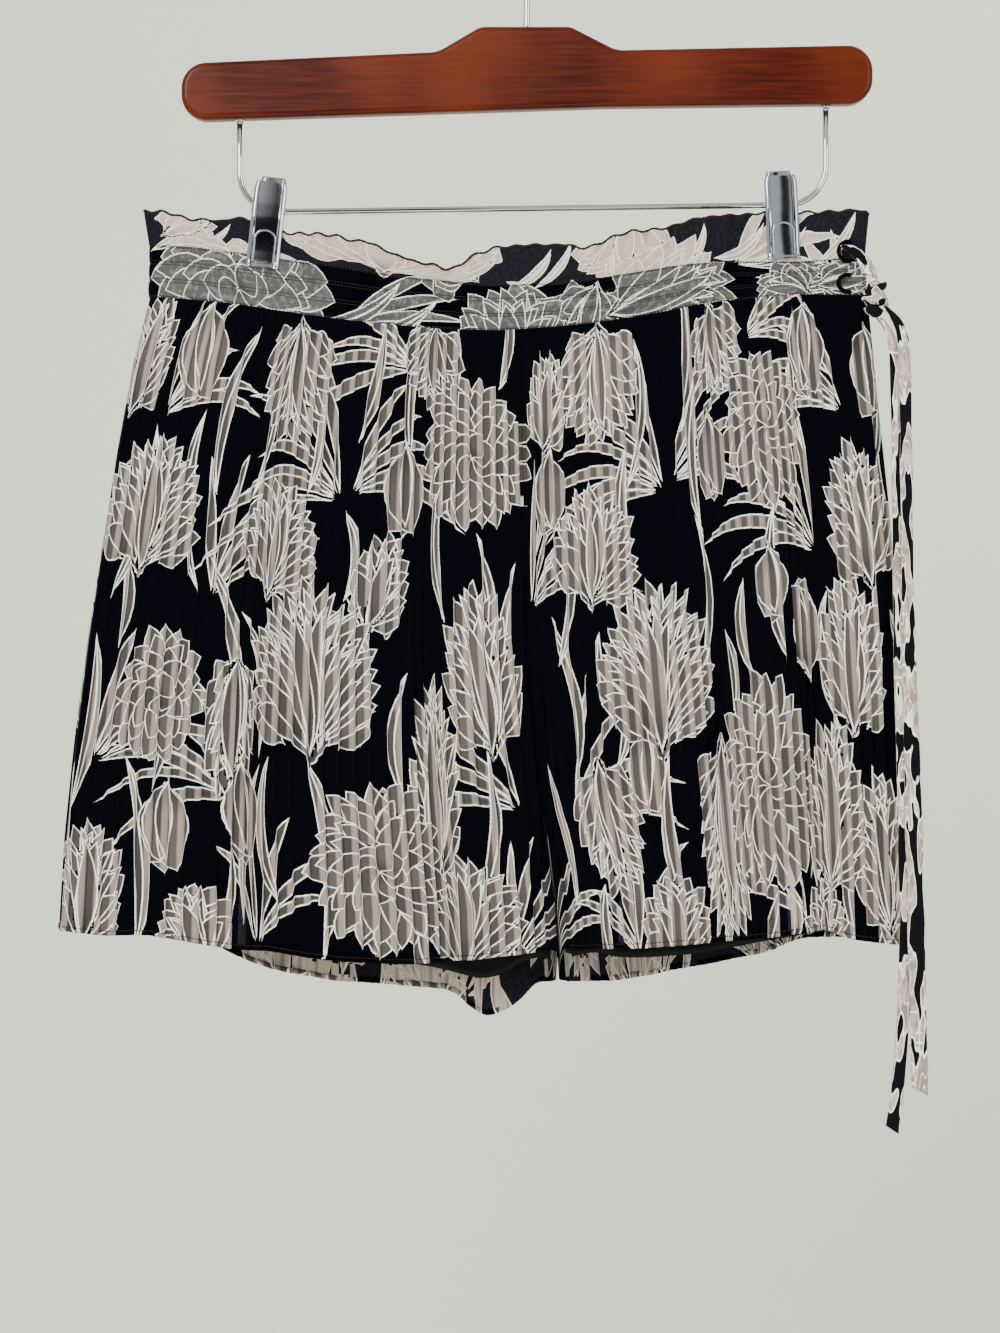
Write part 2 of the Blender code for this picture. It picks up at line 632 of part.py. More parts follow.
def clip_jaw(side, face, wire_x, lean, length):
    """A pressed steel jaw: a plate whose side flanges turn back to the wire."""
    away = -1.0 if face == "front" else 1.0
    half = CLIP_WIDTH / 2.0 - (0.0 if face == "front" else BACK_JAW_NARROWER)
    tilt = math.radians(lean)
    pivot_z = wire_z(wire_x)
    rows = []
    for share, depth, flange in FRONT_JAW if face == "front" else BACK_JAW:
        down = share * length
        section = (
            (-half, depth - flange), (-half, depth - JAW_EDGE), (-half + JAW_EDGE, depth),
            (0.0, depth + JAW_CROWN), (half - JAW_EDGE, depth), (half, depth - JAW_EDGE),
            (half, depth - flange),
        )
        row = []
        for across, deep in section:
            x = wire_x + across * math.cos(tilt) - down * math.sin(tilt)
            z = pivot_z - down * math.cos(tilt) - across * math.sin(tilt)
            row.append((x, away * deep, z))
        rows.append(([], row, []))
    add_cloth(f"clip_{side}_{face}", rows, face == "front", CLIP_STEEL, "chrome")


def tie_strip(name, path, width, turn_from, turn_to):
    """A flat strip of folded cloth along a path, its width turned about the path by degrees."""
    rows = []
    last = len(path) - 1
    for index, (x, y, z) in enumerate(path):
        turn = math.radians(turn_from + (turn_to - turn_from) * index / last)
        wide = width * (TIE_NARROWS if index == 0 else 1.0) / 2.0
        slope = TIE_END_SLOPE if index == last else 0.0
        row = []
        for across, bulge in ((-1.0, 0.0), (0.0, -TIE_BOW), (1.0, 0.0)):
            row.append((
                x + across * wide * math.cos(turn), y + across * wide * math.sin(turn) + bulge,
                z - slope * across,
            ))
        rows.append(([], row, []))
    add_cloth(name, rows, True, TIE_THICK, "chiffon_tie")


def tie_knot():
    shape = bmesh.new()
    bmesh.ops.create_uvsphere(shape, u_segments=KNOT_SIDES, v_segments=KNOT_RINGS, radius=1.0)
    for point in shape.verts:
        around = math.atan2(point.co.y, point.co.x)
        turns = KNOT_TURN_SWELL * math.cos(KNOT_TURN_RATE * point.co.z)
        swell = 1.0 + turns + KNOT_FOLD_SWELL * math.sin(KNOT_FOLDS * around)
        point.co.x *= KNOT_HALF[0] * swell * MM
        point.co.y *= KNOT_HALF[1] * swell * MM
        point.co.z *= KNOT_HALF[2] * MM
    data = bpy.data.meshes.new("tie_knot")
    shape.to_mesh(data)
    shape.free()
    data.shade_smooth()
    piece = bpy.data.objects.new("tie_knot", data)
    piece.location = [c * MM for c in KNOT_AT]
    finish(piece, "chiffon_tie")


def thread_loop(name, x, z, half_height, reach, upper_y, lower_y):
    points = []
    first, last = LOOP_ANGLES
    for share in np.linspace(0.0, 1.0, LOOP_STEPS):
        angle = math.radians(first + (last - first) * share)
        y = upper_y + (lower_y - upper_y) * share - LOOP_ARCH * math.sin(math.pi * share)
        points.append((x + reach * math.cos(angle), y, z + half_height * math.sin(angle)))
    add_tube(f"loop_{name}", points, LOOP_CORD, 1, "thread")


def tie():
    for strip in TIE_STRIPS:
        tie_strip(*strip)
    tie_knot()
    for loop in LOOPS:
        thread_loop(*loop)


# Materials: (red, green, blue), roughness, metallic
LOOKS = {
    "chiffon": ((0.09, 0.085, 0.085), 0.85, 0.0),
    "chiffon_band": ((0.07, 0.068, 0.07), 0.85, 0.0),
    "chiffon_frill": ((0.16, 0.14, 0.13), 0.85, 0.0),
    "chiffon_tie": ((0.45, 0.41, 0.37), 0.85, 0.0),
    "lining": ((0.006, 0.006, 0.009), 0.5, 0.0),
    "thread": ((0.01, 0.01, 0.01), 0.8, 0.0),
    "wood": ((0.28, 0.06, 0.02), 0.22, 0.0),
    "chrome": ((0.8, 0.8, 0.8), 0.12, 1.0),
}


def finish(piece, look):
    """Links a piece and gives it its own material."""
    colour, rough, metal = LOOKS[look]
    material = bpy.data.materials.new(f"{piece.name}_{look}")
    material.use_nodes = True
    shader = material.node_tree.nodes["Principled BSDF"]
    shader.inputs["Base Color"].default_value = (*colour, 1.0)
    shader.inputs["Roughness"].default_value = rough
    shader.inputs["Metallic"].default_value = metal
    piece.data.materials.append(material)
    PARTS.objects.link(piece)


for leftover in list(bpy.data.objects):
    bpy.data.objects.remove(leftover)
PARTS = bpy.data.collections.new("pleated_shorts")
CUTTERS = bpy.data.collections.new("cutters")
bpy.context.scene.collection.children.link(PARTS)
bpy.context.scene.collection.children.link(CUTTERS)

for panel_face in ("front", "back"):
    for panel_side in ("left", "right"):
        leg_panel(panel_side, panel_face)
    waistband(panel_face)
    ruffle(panel_face)
for lining_side in ("left", "right"):
    leg_lining(lining_side)
tie()
hanger_bar()
hanger_hook()
hanger_wire()
for clip_side, clip_x, clip_lean, clip_length in CLIPS:
    for clip_face in ("front", "back"):
        clip_jaw(clip_side, clip_face, clip_x, clip_lean, clip_length)
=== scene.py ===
"""Looks of the pleated shorts on their clip hanger. Metres in Blender; tables here are in millimetres.

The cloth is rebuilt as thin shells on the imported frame, and each shell is printed face by face: every
petal and blade is a short curve with a half width, and a face stores where it lies on the ones over it.
"""

import math

import bmesh
import bpy
import numpy as np
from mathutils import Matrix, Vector


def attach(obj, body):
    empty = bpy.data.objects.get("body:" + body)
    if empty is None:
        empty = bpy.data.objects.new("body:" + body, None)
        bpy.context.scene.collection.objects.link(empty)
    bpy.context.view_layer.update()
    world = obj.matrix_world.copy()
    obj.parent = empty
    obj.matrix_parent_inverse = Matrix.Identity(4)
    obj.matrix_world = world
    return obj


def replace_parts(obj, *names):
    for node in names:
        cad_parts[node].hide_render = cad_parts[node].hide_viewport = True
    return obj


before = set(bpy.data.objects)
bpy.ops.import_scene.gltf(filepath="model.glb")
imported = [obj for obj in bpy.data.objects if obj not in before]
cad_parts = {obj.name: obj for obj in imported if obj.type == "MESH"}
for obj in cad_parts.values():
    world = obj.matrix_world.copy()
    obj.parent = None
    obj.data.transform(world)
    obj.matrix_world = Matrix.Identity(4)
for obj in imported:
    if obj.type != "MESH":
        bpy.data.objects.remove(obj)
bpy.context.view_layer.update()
MM = 0.001

# ---- Sizes of the garment's surface, the same as the solids' ----
SIDE_GAP = 0.6
SEAM_GAP = 0.3
SEAM_MARGIN = 1.6
PLEATS_PER_PANEL = 33
PLEAT_RIDGE_AT = 0.86
PLEAT_DEPTH_WAIST = 1.2
PLEAT_DEPTH_HEM = 2.3
SIDE_RADIUS = 13.0
PLEAT_CROWDING = 0.34
PLEAT_CROWD_REACH = 13.0
BAND_CASINGS = 3
CASING_BULGE = 0.8
RUFFLE_WAVE = 2.6
RUFFLE_FLARE = 3.0
CROTCH_TOP = 0.78
CROTCH_ROW = 0.88
CROTCH_CORNER = 4.0
LEG_GAP = 1.2
LINING_INSET = 2.0
LINING_FOLD_ROOM = 6.5
FRONT_LINING_RISE = 8.0
CLIP_REACH = 14.0
CLIP_FADE = 24.0
CLIP_PINCH = 2.05

# Flat cloth: each pleat takes this much, and the rest of its pitch lies folded behind it
PLEAT_FLAT = 11.2
PLEAT_SEEN_FLAT = 6.6
CLOTH_LENGTH = 324.0
PANEL_FLAT = PLEATS_PER_PANEL * PLEAT_FLAT
EXTENSION_WIDTH = 40.0

SECTION_STEPS = 700
FOLD_GROWTH = 1.4
WAIST_OPENING = 0.15
INSEAM_Y = -4.0
FRILL_SIDE_FLARE = 1.5
LINING_CLEAR = 3.4
LINING_FOLDS_FROM_SIDE = 40.0
BAR_THICK = 12.0
BAR_EDGE = 3.0
HOOK_WIRE = 1.75
HOOK_INSIDE = 20.0
CLIP_WIRE = 1.65
WIRE_BEND = 20.0
CLIP_WIDTH = 17.0
CLIP_GRIP_BELOW = 25.0
GRIP_FADES_FROM = -0.62
GRIP_FADES_OVER = 0.8

# (x, z) of the lines across the garment, viewer's left to right
RUFFLE_TOP = (
    (-196, -155.2), (-186, -155.6), (-176, -159.4), (-160, -160.3), (-148, -157.6), (-122, -166.0),
    (-104, -167.5), (-92, -170.8), (-80, -172.7), (-65, -180.4), (-38, -187.6), (-30, -182.0),
    (-22, -177.4), (-6, -175.3), (19, -174.7), (31, -176.8), (46, -169.1), (58, -167.0),
    (70, -166.0), (84, -160.8), (110, -156.8), (122, -155.2), (171, -155.2), (179, -156.7),
)
BAND_TOP = (
    (-194, -172.2), (-176, -173.2), (-148, -175.8), (-117, -180.4), (-101, -183.0), (-65, -189.7),
    (-34, -193.3), (-14, -194.8), (17, -193.8), (48, -189.1), (79, -183.5), (110, -180.4),
    (140, -180.4), (174, -178.3),
)
WAIST_SEAM = (
    (-194, -198.9), (-168, -201.0), (-148, -203.0), (-122, -207.2), (-96, -211.3), (-65, -214.9),
    (-45, -216.9), (-14, -218.0), (17, -215.9), (38, -213.3), (63, -209.2), (89, -203.5),
    (120, -199.4), (140, -197.9), (174, -198.4),
)
FRONT_HEM = (
    (-239, -523.0), (-214, -525.1), (-194, -524.1), (-173, -527.2), (-148, -531.8), (-132, -531.3),
    (-112, -534.9), (-96, -536.9), (-65, -538.5), (-50, -538.0), (-24, -535.9), (-4, -533.9),
    (15, -531.6), (32, -530.8), (58, -530.3), (79, -528.7), (112, -526.1), (152, -521.5),
    (163, -526.6), (187, -530.0), (193, -530.3),
)
BACK_HEM = (
    (-239, -523.0), (-194, -525.6), (-168, -530.2), (-143, -542.1), (-129, -546.7), (-104, -550.8),
    (-70, -553.9), (-38, -556.5), (-29, -565.0), (-20, -571.0), (-8, -567.0), (2, -560.6),
    (8, -552.4), (47, -551.9), (72, -546.7), (95, -543.1), (126, -535.9), (143, -529.0),
    (166, -528.5), (193, -530.3),
)
LINING_HEM = (
    (-239, -517.0), (-150, -526.0), (-117, -534.4), (-83, -540.5), (-52, -543.1), (-33, -547.7),
    (-23, -550.3), (-8, -548.0), (3, -541.0), (30, -536.0), (47, -539.0), (62, -539.0),
    (90, -536.9), (118, -531.3), (143, -526.7), (193, -519.0),
)

# (share of the way from the waist seam to the hem, x) of the two sides and the centre seam
LEFT_SIDE = (
    (0.0, -194.0), (0.10, -202.2), (0.24, -210.4), (0.40, -218.2), (0.54, -224.8), (0.70, -231.0),
    (0.86, -236.2), (1.0, -239.2),
)
RIGHT_SIDE = (
    (0.0, 174.0), (0.16, 179.0), (0.31, 184.2), (0.47, 188.3), (0.62, 190.4), (0.78, 191.9),
    (1.0, 193.4),
)
CENTRE_SEAM = ((0.0, -3.6), (0.50, -0.5), (0.73, 5.7), (0.92, 14.4), (1.0, 16.0))

# (x, depth at the band's top, at the waist seam, at the hem) from the side seams' plane
FRONT_DEPTH = (
    (-240, 5.0, 6.0, 13.0), (-190, 5.5, 6.5, 23.0), (-134, 7.0, 9.0, 30.0), (-100, 10.0, 12.0, 30.0),
    (-50, 17.0, 18.0, 29.0), (0, 20.0, 21.0, 29.0), (50, 17.0, 18.0, 29.0), (100, 10.0, 12.0, 30.0),
    (130, 7.0, 9.0, 29.0), (165, 5.5, 6.5, 20.0), (195, 5.0, 6.0, 13.0),
)
BACK_DEPTH = (
    (-240, 5.0, 6.0, 10.0), (-190, 5.5, 6.5, 13.0), (-100, 8.0, 9.0, 17.0), (0, 13.0, 14.0, 19.0),
    (100, 8.0, 9.0, 17.0), (165, 5.5, 6.5, 13.0), (195, 5.0, 6.0, 10.0),
)

# (x at the waist, x at the hem, depth, half width) of the long folds that fall from the band
FRONT_FOLDS = (
    (-124, -150, 6.0, 9.0), (-62, -42, 6.0, 8.0), (-4, 13, 5.0, 8.0), (92, 97, 5.5, 9.0),
    (128, 152, 5.5, 8.0),
)
BACK_FOLDS = (
    (-150, -188, 4.5, 9.0), (-84, -98, 5.5, 9.0), (-34, -36, 4.0, 8.0), (52, 66, 5.5, 9.0),
    (104, 122, 5.0, 9.0),
)

# (x, z, corner radius) round the wooden bar
BAR_OUTLINE = (
    (-177.5, -79.0, 13.0), (-46.0, -72.9, 15.0), (-24.0, -60.0, 9.0), (22.5, -60.0, 9.0),
    (46.0, -72.0, 15.0), (177.5, -69.3, 13.0), (177.5, -99.6, 13.0), (37.6, -101.3, 0.0),
    (-177.5, -108.4, 13.0),
)
HOOK_STEM = (-80.0, -48.0)
HOOK_ANGLES = (-38.0, 202.0)
WIRE_LEGS = (-147.7, 153.8)
WIRE_TOPS = (-92.0, -86.0)
WIRE_BAR = (-154.9, -150.6)

# (name, x where it hangs on the wire, lean from upright in degrees, length under the wire)
CLIPS = (("left", -132.8, 6.6, 29.0), ("right", 130.6, -2.9, 28.0))
# (share of the length, depth of the plate from the mid-plane, depth of its side flanges)
FRONT_JAW = (
    (-0.52, 4.7, 1.2), (-0.30, 5.3, 2.4), (-0.13, 5.7, 3.2), (0.13, 5.7, 3.2), (0.36, 5.2, 2.6),
    (0.70, 3.9, 1.2), (0.92, 3.4, 1.0), (1.0, 4.2, 0.9),
)
BACK_JAW = (
    (-0.66, 7.4, 1.0), (-0.42, 6.4, 1.6), (-0.13, 5.6, 3.1), (0.13, 5.6, 3.1), (0.36, 5.2, 2.4),
    (0.70, 3.9, 1.2), (0.92, 3.4, 1.0), (1.0, 4.2, 0.9),
)

# Tie at the viewer's right: (x, y, z) along each strip
TIE_STRAP = (
    (163.0, -11.6, -173.4), (166.5, -11.6, -176.0), (170.5, -11.2, -179.6), (173.6, -10.6, -184.0),
    (175.2, -9.8, -188.6),
)
TIE_INNER = (
    (180.2, -8.9, -210.1), (184.5, -11.5, -217.0), (187.0, -13.5, -228.0), (187.8, -14.6, -255.0),
    (188.4, -16.0, -303.0), (188.6, -17.4, -355.0), (190.0, -18.6, -415.0), (191.6, -19.4, -470.0),
    (192.2, -19.4, -530.0), (190.6, -18.6, -572.0), (188.2, -18.0, -604.0), (185.4, -17.6, -624.0),
)
TIE_OUTER = (
    (181.5, -14.4, -205.0), (188.2, -14.6, -212.0), (191.4, -16.6, -224.0), (192.4, -17.6, -255.0),
    (192.8, -18.8, -310.0), (193.4, -20.2, -370.0), (195.0, -21.2, -430.0), (196.4, -22.0, -490.0),
    (197.6, -22.0, -545.0), (198.6, -21.4, -580.0), (199.0, -21.0, -604.0),
)
KNOT_AT = (178.2, -8.3, -200.4)
KNOT_HALF = (5.6, 5.2, 9.6)
# (name, x, z, half height, reach, y of the upper end, y of the lower end) of the thread carriers
LOOPS = (("upper", 164.6, -175.9, 5.0, 5.2, -7.8, -7.0), ("lower", 164.6, -192.3, 4.4, 5.4, -7.4, -8.0))
LOOP_ARCH = 1.4


def smooth_step(value):
    """0 up to 0 and 1 from 1, eased between."""
    share = np.clip(value, 0.0, 1.0)
    return share * share * (3.0 - 2.0 * share)


def travelled(path):
    """Distance along a path at each of its points."""
    return np.concatenate(([0.0], np.cumsum(np.linalg.norm(np.diff(path, axis=0), axis=1))))


def points_at(path, length, stops):
    """Points of a path at distances along it, from its own points' distances."""
    return np.array([[np.interp(stop, length, path[:, axis]) for axis in range(3)] for stop in stops])


def along(table, x, column=1, soften=7.0):
    """A table's column at x, with its corners rounded."""
    known = np.array(table, dtype=float)
    steps = np.linspace(-soften, soften, 5)
    near = [np.interp(x + step, known[:, 0], known[:, column]) for step in steps]
    return np.mean(near, axis=0)


def clip_share(x):
    """1 where a clip holds the cloth, 0 well away from both."""
    share = 0.0
    for _, clip_x, lean, _ in CLIPS:
        grip_x = clip_x - CLIP_GRIP_BELOW * math.sin(math.radians(lean))
        away = np.abs(x - grip_x)
        share = np.maximum(share, 1.0 - smooth_step((away - CLIP_REACH) / CLIP_FADE))
    return share


def fold_depth(folds, x, level):
    """How far the long folds draw the cloth in."""
    depth = np.zeros_like(x)
    for waist_x, hem_x, deep, half_width in folds:
        middle = waist_x + (hem_x - waist_x) * level
        depth += deep * np.exp(-(((x - middle) / half_width) ** 2))
    return depth * smooth_step(level * FOLD_GROWTH)


def depth_at(face, x, level, folds=True):
    """Depth of a face from the side seams' plane. Level -2 is the frill's edge, -1 the band's top,
    0 the waist seam and 1 the hem."""
    table = FRONT_DEPTH if face == "front" else BACK_DEPTH
    top = along(table, x, 1) + RUFFLE_FLARE * max(0.0, -1.0 - level)
    waist = along(table, x, 2)
    hem = along(table, x, 3)
    upper = top + (waist - top) * smooth_step(level + 1.0)
    opened = smooth_step(WAIST_OPENING + (1.0 - WAIST_OPENING) * level) * (level > 0.0)
    depth = upper + (hem - upper) * opened
    held = clip_share(x) * (1.0 - smooth_step((level - GRIP_FADES_FROM) / GRIP_FADES_OVER))
    depth = depth + (CLIP_PINCH - depth) * held
    if folds and level > 0.0:
        depth = depth - fold_depth(FRONT_FOLDS if face == "front" else BACK_FOLDS, x, level)
    return depth


def height_at(face, x, level, lining=False):
    """Height of a line across the garment."""
    if level <= 0.0:
        lower, upper = (WAIST_SEAM, BAND_TOP) if level >= -1.0 else (BAND_TOP, RUFFLE_TOP)
        share = -level if level >= -1.0 else -level - 1.0
        base = along(lower, x)
        return base + (along(upper, x, soften=4.0) - base) * share
    hem = along(FRONT_HEM if face == "front" else BACK_HEM, x, soften=4.0)
    if lining:
        hem = hem + FRONT_LINING_RISE if face == "front" else along(LINING_HEM, x, soften=4.0)
    return along(WAIST_SEAM, x) * (1.0 - level) + hem * level


def edges_at(side, level):
    """The x of a leg's side edge and of the centre seam."""
    table = LEFT_SIDE if side == "left" else RIGHT_SIDE
    down = max(level, 0.0)
    flare = FRILL_SIDE_FLARE * max(0.0, -1.0 - level)
    side_x = float(np.interp(down, *np.array(table).T))
    centre_x = float(np.interp(down, *np.array(CENTRE_SEAM).T))
    outward = -1.0 if side == "left" else 1.0
    return side_x + outward * flare, centre_x


def middle_y(level):
    """The y of the side seams and the inseams."""
    return INSEAM_Y * smooth_step(level)


def half_section(side, face, level, places, relief, inset=0.0, seam=True, lining=False):
    """Points round half of one face, side seam to centre, at shares of its length given by places and
    moved out by relief, with a plain margin at each seam."""
    side_x, centre_x = edges_at(side, level)
    away = -1.0 if face == "front" else 1.0
    across = 1.0 - np.cos(np.linspace(0.0, math.pi / 2.0, SECTION_STEPS))
    x = side_x + (centre_x - side_x) * across
    depth = depth_at(face, x, level, folds=not lining)
    if lining:
        from_side = smooth_step(np.abs(x - side_x) / LINING_FOLDS_FROM_SIDE)
        depth = depth - LINING_FOLD_ROOM * smooth_step(level * FOLD_GROWTH) * from_side
    middle = middle_y(level)
    radius = min(SIDE_RADIUS, depth[0] - away * middle)
    turn = np.clip(np.abs(x - side_x) / radius, 0.0, 1.0)
    y = middle + (away * depth - middle) * np.sqrt(1.0 - (1.0 - turn) ** 2)
    length = np.concatenate(([0.0], np.cumsum(np.hypot(np.diff(x), np.diff(y)))))
    start, stop = SIDE_GAP / 2.0, length[-1] - SEAM_GAP / 2.0 * seam
    first, last = start + SEAM_MARGIN, stop - SEAM_MARGIN * seam
    wanted = np.concatenate(([start], first + (last - first) * np.asarray(places), [stop] * seam))
    normal_x, normal_y = np.gradient(y, length), -np.gradient(x, length)
    facing = 1.0 if runs_forward(side, face) else -1.0
    out = np.concatenate(([relief[0]], relief, [relief[-1]] * seam)) - inset
    here_x = np.interp(wanted, length, x)
    here_z = height_at(face, here_x, level, lining)
    px = here_x + facing * out * np.interp(wanted, length, normal_x)
    py = np.interp(wanted, length, y) + facing * out * np.interp(wanted, length, normal_y)
    return np.column_stack([px, py, here_z])


def runs_forward(side, face):
    """Whether a panel's columns, side seam to centre, run the way the print and the outward faces do."""
    return (side == "left") == (face == "front")


def pleat_starts(side, face, count):
    """Shares along a panel where each pleat starts, closer together where a long fold gathers them."""
    folds = FRONT_FOLDS if face == "front" else BACK_FOLDS
    side_x, centre_x = edges_at(side, 0.5)
    widths = []
    for index in range(count):
        x = side_x + (centre_x - side_x) * (index + 0.5) / count
        nearest = min(abs(x - (fold[0] + fold[1]) / 2.0) for fold in folds)
        widths.append(1.0 - PLEAT_CROWDING * math.exp(-((nearest / PLEAT_CROWD_REACH) ** 2)))
    return np.concatenate(([0.0], np.cumsum(widths))) / sum(widths)


def rounded(corners, steps=5):
    """A path through (x, z, radius) corners, each replaced by an arc where its radius isn't 0."""
    points = []
    total = len(corners)
    for index, (x, z, radius) in enumerate(corners):
        here = np.array([x, z])
        back = np.array(corners[index - 1][:2]) - here
        ahead = np.array(corners[(index + 1) % total][:2]) - here
        back, ahead = back / np.linalg.norm(back), ahead / np.linalg.norm(ahead)
        half = math.acos(max(-1.0, min(1.0, float(back @ ahead)))) / 2.0
        if radius == 0.0 or half > math.radians(89.0):
            points.append(here)
            continue
        run = radius / math.tan(half)
        start, end = here + back * run, here + ahead * run
        middle = here + (back + ahead) / np.linalg.norm(back + ahead) * radius / math.sin(half)
        for step in range(steps + 1):
            share = step / steps
            chord = start + (end - start) * share - middle
            points.append(middle + chord / np.linalg.norm(chord) * radius)
    return points


def wire_z(x):
    """Height of the wire that the clips hang on."""
    return float(np.interp(x, WIRE_LEGS, WIRE_BAR))


# ---- The print ----
# Strokes on the flat cloth, with u round the garment and v down from the waist seam
STROKE_POINTS = 9
PRINT_LAYERS = 3
LAYOUT_WIDTH = 740.0
LINE_ROOM = 0.25
STROKE_MARGIN = 1.2
EDGE_SOFTNESS = 0.5
EDGE_COVERED = -0.3
NO_STROKE = -9.0
RING_FULL_SIZE = 96.0
RING_LEAST = 0.38
# How far each panel's cloth starts along the layout
PANEL_START = {
    ("front", "left"): 0.0, ("front", "right"): 370.0, ("back", "right"): 185.0, ("back", "left"): 555.0,
}

# (kind, u, v, width, height, turn from upright in degrees), nearest first
BLOOMS = (
    ("plume", 188, 182, 104, 90, -4), ("plume", 487, 184, 98, 90, 3), ("rose", 326, 66, 98, 80, 10),
    ("rose", 612, 66, 84, 82, -14), ("rose", 236, 278, 100, 92, 8), ("rose", 590, 248, 98, 112, -6),
    ("plume", 158, 34, 68, 66, 176), ("plume", 446, 32, 72, 66, 184), ("plume", 42, 106, 80, 72, 6),
    ("plume", 156, 118, 72, 62, 14), ("plume", 438, 118, 76, 64, 10), ("rose", 64, 202, 60, 74, 20),
    ("plume", 332, 178, 58, 92, -6), ("plume", 284, 236, 52, 112, 4), ("plume", 706, 112, 62, 74, -8),
    ("plume", 690, 184, 58, 80, 4), ("bud", 640, 168, 30, 60, -10), ("plume", 540, 272, 62, 108, 182),
    ("plume", 434, 262, 56, 76, 172), ("plume", 308, 302, 82, 62, 10), ("plume", 22, 300, 52, 66, 4),
    ("plume", 96, 318, 54, 46, -16), ("plume", 664, 262, 60, 92, 8), ("plume", 712, 282, 56, 86, -6),
    ("bud", 258, 86, 30, 52, 182), ("bud", 552, 80, 32, 50, 178), ("bud", 64, 28, 34, 58, 176),
    ("plume", 284, 18, 64, 44, 188), ("plume", 240, 134, 44, 56, 24),
    ("bud", 74, 270, 28, 52, 180), ("bud", 132, 258, 28, 58, 170),
    ("plume", 566, 24, 58, 50, 172), ("bud", 668, 30, 32, 56, 186), ("plume", 16, 30, 44, 66, 10),
    ("bud", 396, 88, 28, 50, 184),
    ("plume", 484, 312, 60, 50, 6), ("bud", 728, 40, 28, 54, 180),
    ("plume", 120, 214, 40, 84, 182), ("plume", 396, 40, 46, 56, 12),
    ("plume", 648, 322, 62, 48, 8),
    ("bud", 470, 236, 26, 50, 186), ("plume", 736, 314, 56, 50, 4),
    ("bud", 606, 148, 26, 44, 180), ("bud", 336, 330, 26, 40, 176),
)
# (u, v, blades, turn of the middle blade, spread, length, droop)
TUFTS = (
    (206, 92, 7, -58, 88, 96, 30), (214, 88, 5, 52, 64, 84, 26), (500, 92, 7, -56, 84, 92, 30),
    (508, 88, 6, 54, 66, 90, 26), (20, 236, 6, 48, 70, 92, 26), (96, 150, 5, 22, 60, 90, 22),
    (352, 250, 4, -48, 60, 90, 28), (372, 146, 5, 36, 60, 84, 24), (660, 132, 6, -44, 70, 92, 26),
    (128, 250, 5, -60, 66, 84, 26), (620, 322, 4, -20, 60, 86, 24), (404, 262, 5, 44, 60, 90, 24),
    (716, 210, 5, -30, 60, 86, 24), (262, 22, 5, -70, 60, 76, 18), (600, 20, 5, 62, 60, 84, 18),
    (150, 322, 5, 10, 70, 80, 22), (450, 330, 5, -12, 70, 80, 22), (40, 60, 5, 40, 60, 80, 20),
    (700, 60, 5, -52, 60, 84, 20), (340, 330, 5, 30, 60, 76, 20),
)
# (u, v, u at the tip, v at the tip, bend, half width) of the long leaves and stems
LEAVES = (
    (20, 152, 36, 64, 8, 4.5), (84, 146, 74, 54, -10, 4.5), (124, 96, 136, 10, 8, 4.0),
    (262, 68, 270, -6, -6, 4.5), (296, 64, 310, -10, 8, 4.0), (14, 330, 6, 236, -8, 5.0),
    (108, 330, 118, 262, 8, 4.5), (166, 300, 160, 226, -10, 5.0), (226, 214, 214, 140, 10, 4.5),
    (254, 240, 262, 176, -8, 4.5), (320, 300, 330, 216, 8, 5.0), (356, 196, 362, 120, -8, 4.5),
    (384, 300, 378, 226, 8, 5.0), (424, 336, 420, 290, -6, 5.0), (404, 176, 410, 104, 8, 4.5),
    (470, 88, 482, 10, 8, 4.0), (532, 112, 540, 30, -8, 4.5), (560, 262, 566, 206, -8, 4.5),
    (512, 300, 520, 232, 8, 5.0), (640, 300, 632, 236, 8, 4.5), (676, 222, 668, 150, -10, 4.5),
    (700, 336, 706, 270, 8, 5.0), (722, 92, 728, 20, 8, 4.0), (586, 196, 580, 140, -8, 4.5),
    (654, 78, 660, 4, -8, 4.0), (180, 90, 176, 16, 8, 4.0), (64, 250, 56, 196, 8, 4.0),
    (288, 300, 296, 262, -6, 4.5), (448, 210, 440, 160, -6, 4.0), (604, 330, 598, 300, 6, 5.0),
    (196, 322, 188, 224, 10, 6.5), (500, 326, 489, 226, -12, 6.5), (334, 182, 328, 104, 8, 4.5),
    (616, 190, 612, 104, -8, 4.5), (120, 232, 92, 128, 14, 5.5), (228, 196, 262, 104, -14, 5.0),
    (58, 330, 44, 232, 8, 5.0), (92, 96, 112, 8, -10, 5.0), (218, 60, 232, -8, 6, 5.0),
    (380, 118, 388, 8, 10, 5.5), (524, 196, 528, 106, 12, 5.0), (576, 336, 590, 300, 4, 6.0),
    (652, 340, 640, 214, -12, 5.0), (730, 246, 726, 152, 10, 5.0), (150, 226, 122, 154, 12, 4.5),
    (270, 336, 262, 296, -6, 5.5), (412, 236, 396, 150, 10, 5.0), (304, 150, 300, 72, -10, 4.5),
    (470, 150, 468, 64, -8, 5.0), (350, 30, 356, -24, 6, 5.5), (520, 62, 528, -16, 8, 5.0),
    (640, 112, 648, 30, -8, 4.5), (30, 178, 24, 126, 6, 5.0), (134, 310, 152, 230, -10, 4.5),
    (448, 232, 452, 160, 8, 4.5), (738, 128, 732, 60, -8, 4.5), (6, 260, 12, 170, 8, 5.0),
    (562, 210, 556, 166, 6, 4.5), (682, 330, 690, 240, -10, 5.0), (214, 142, 210, 96, 8, 4.0),
)

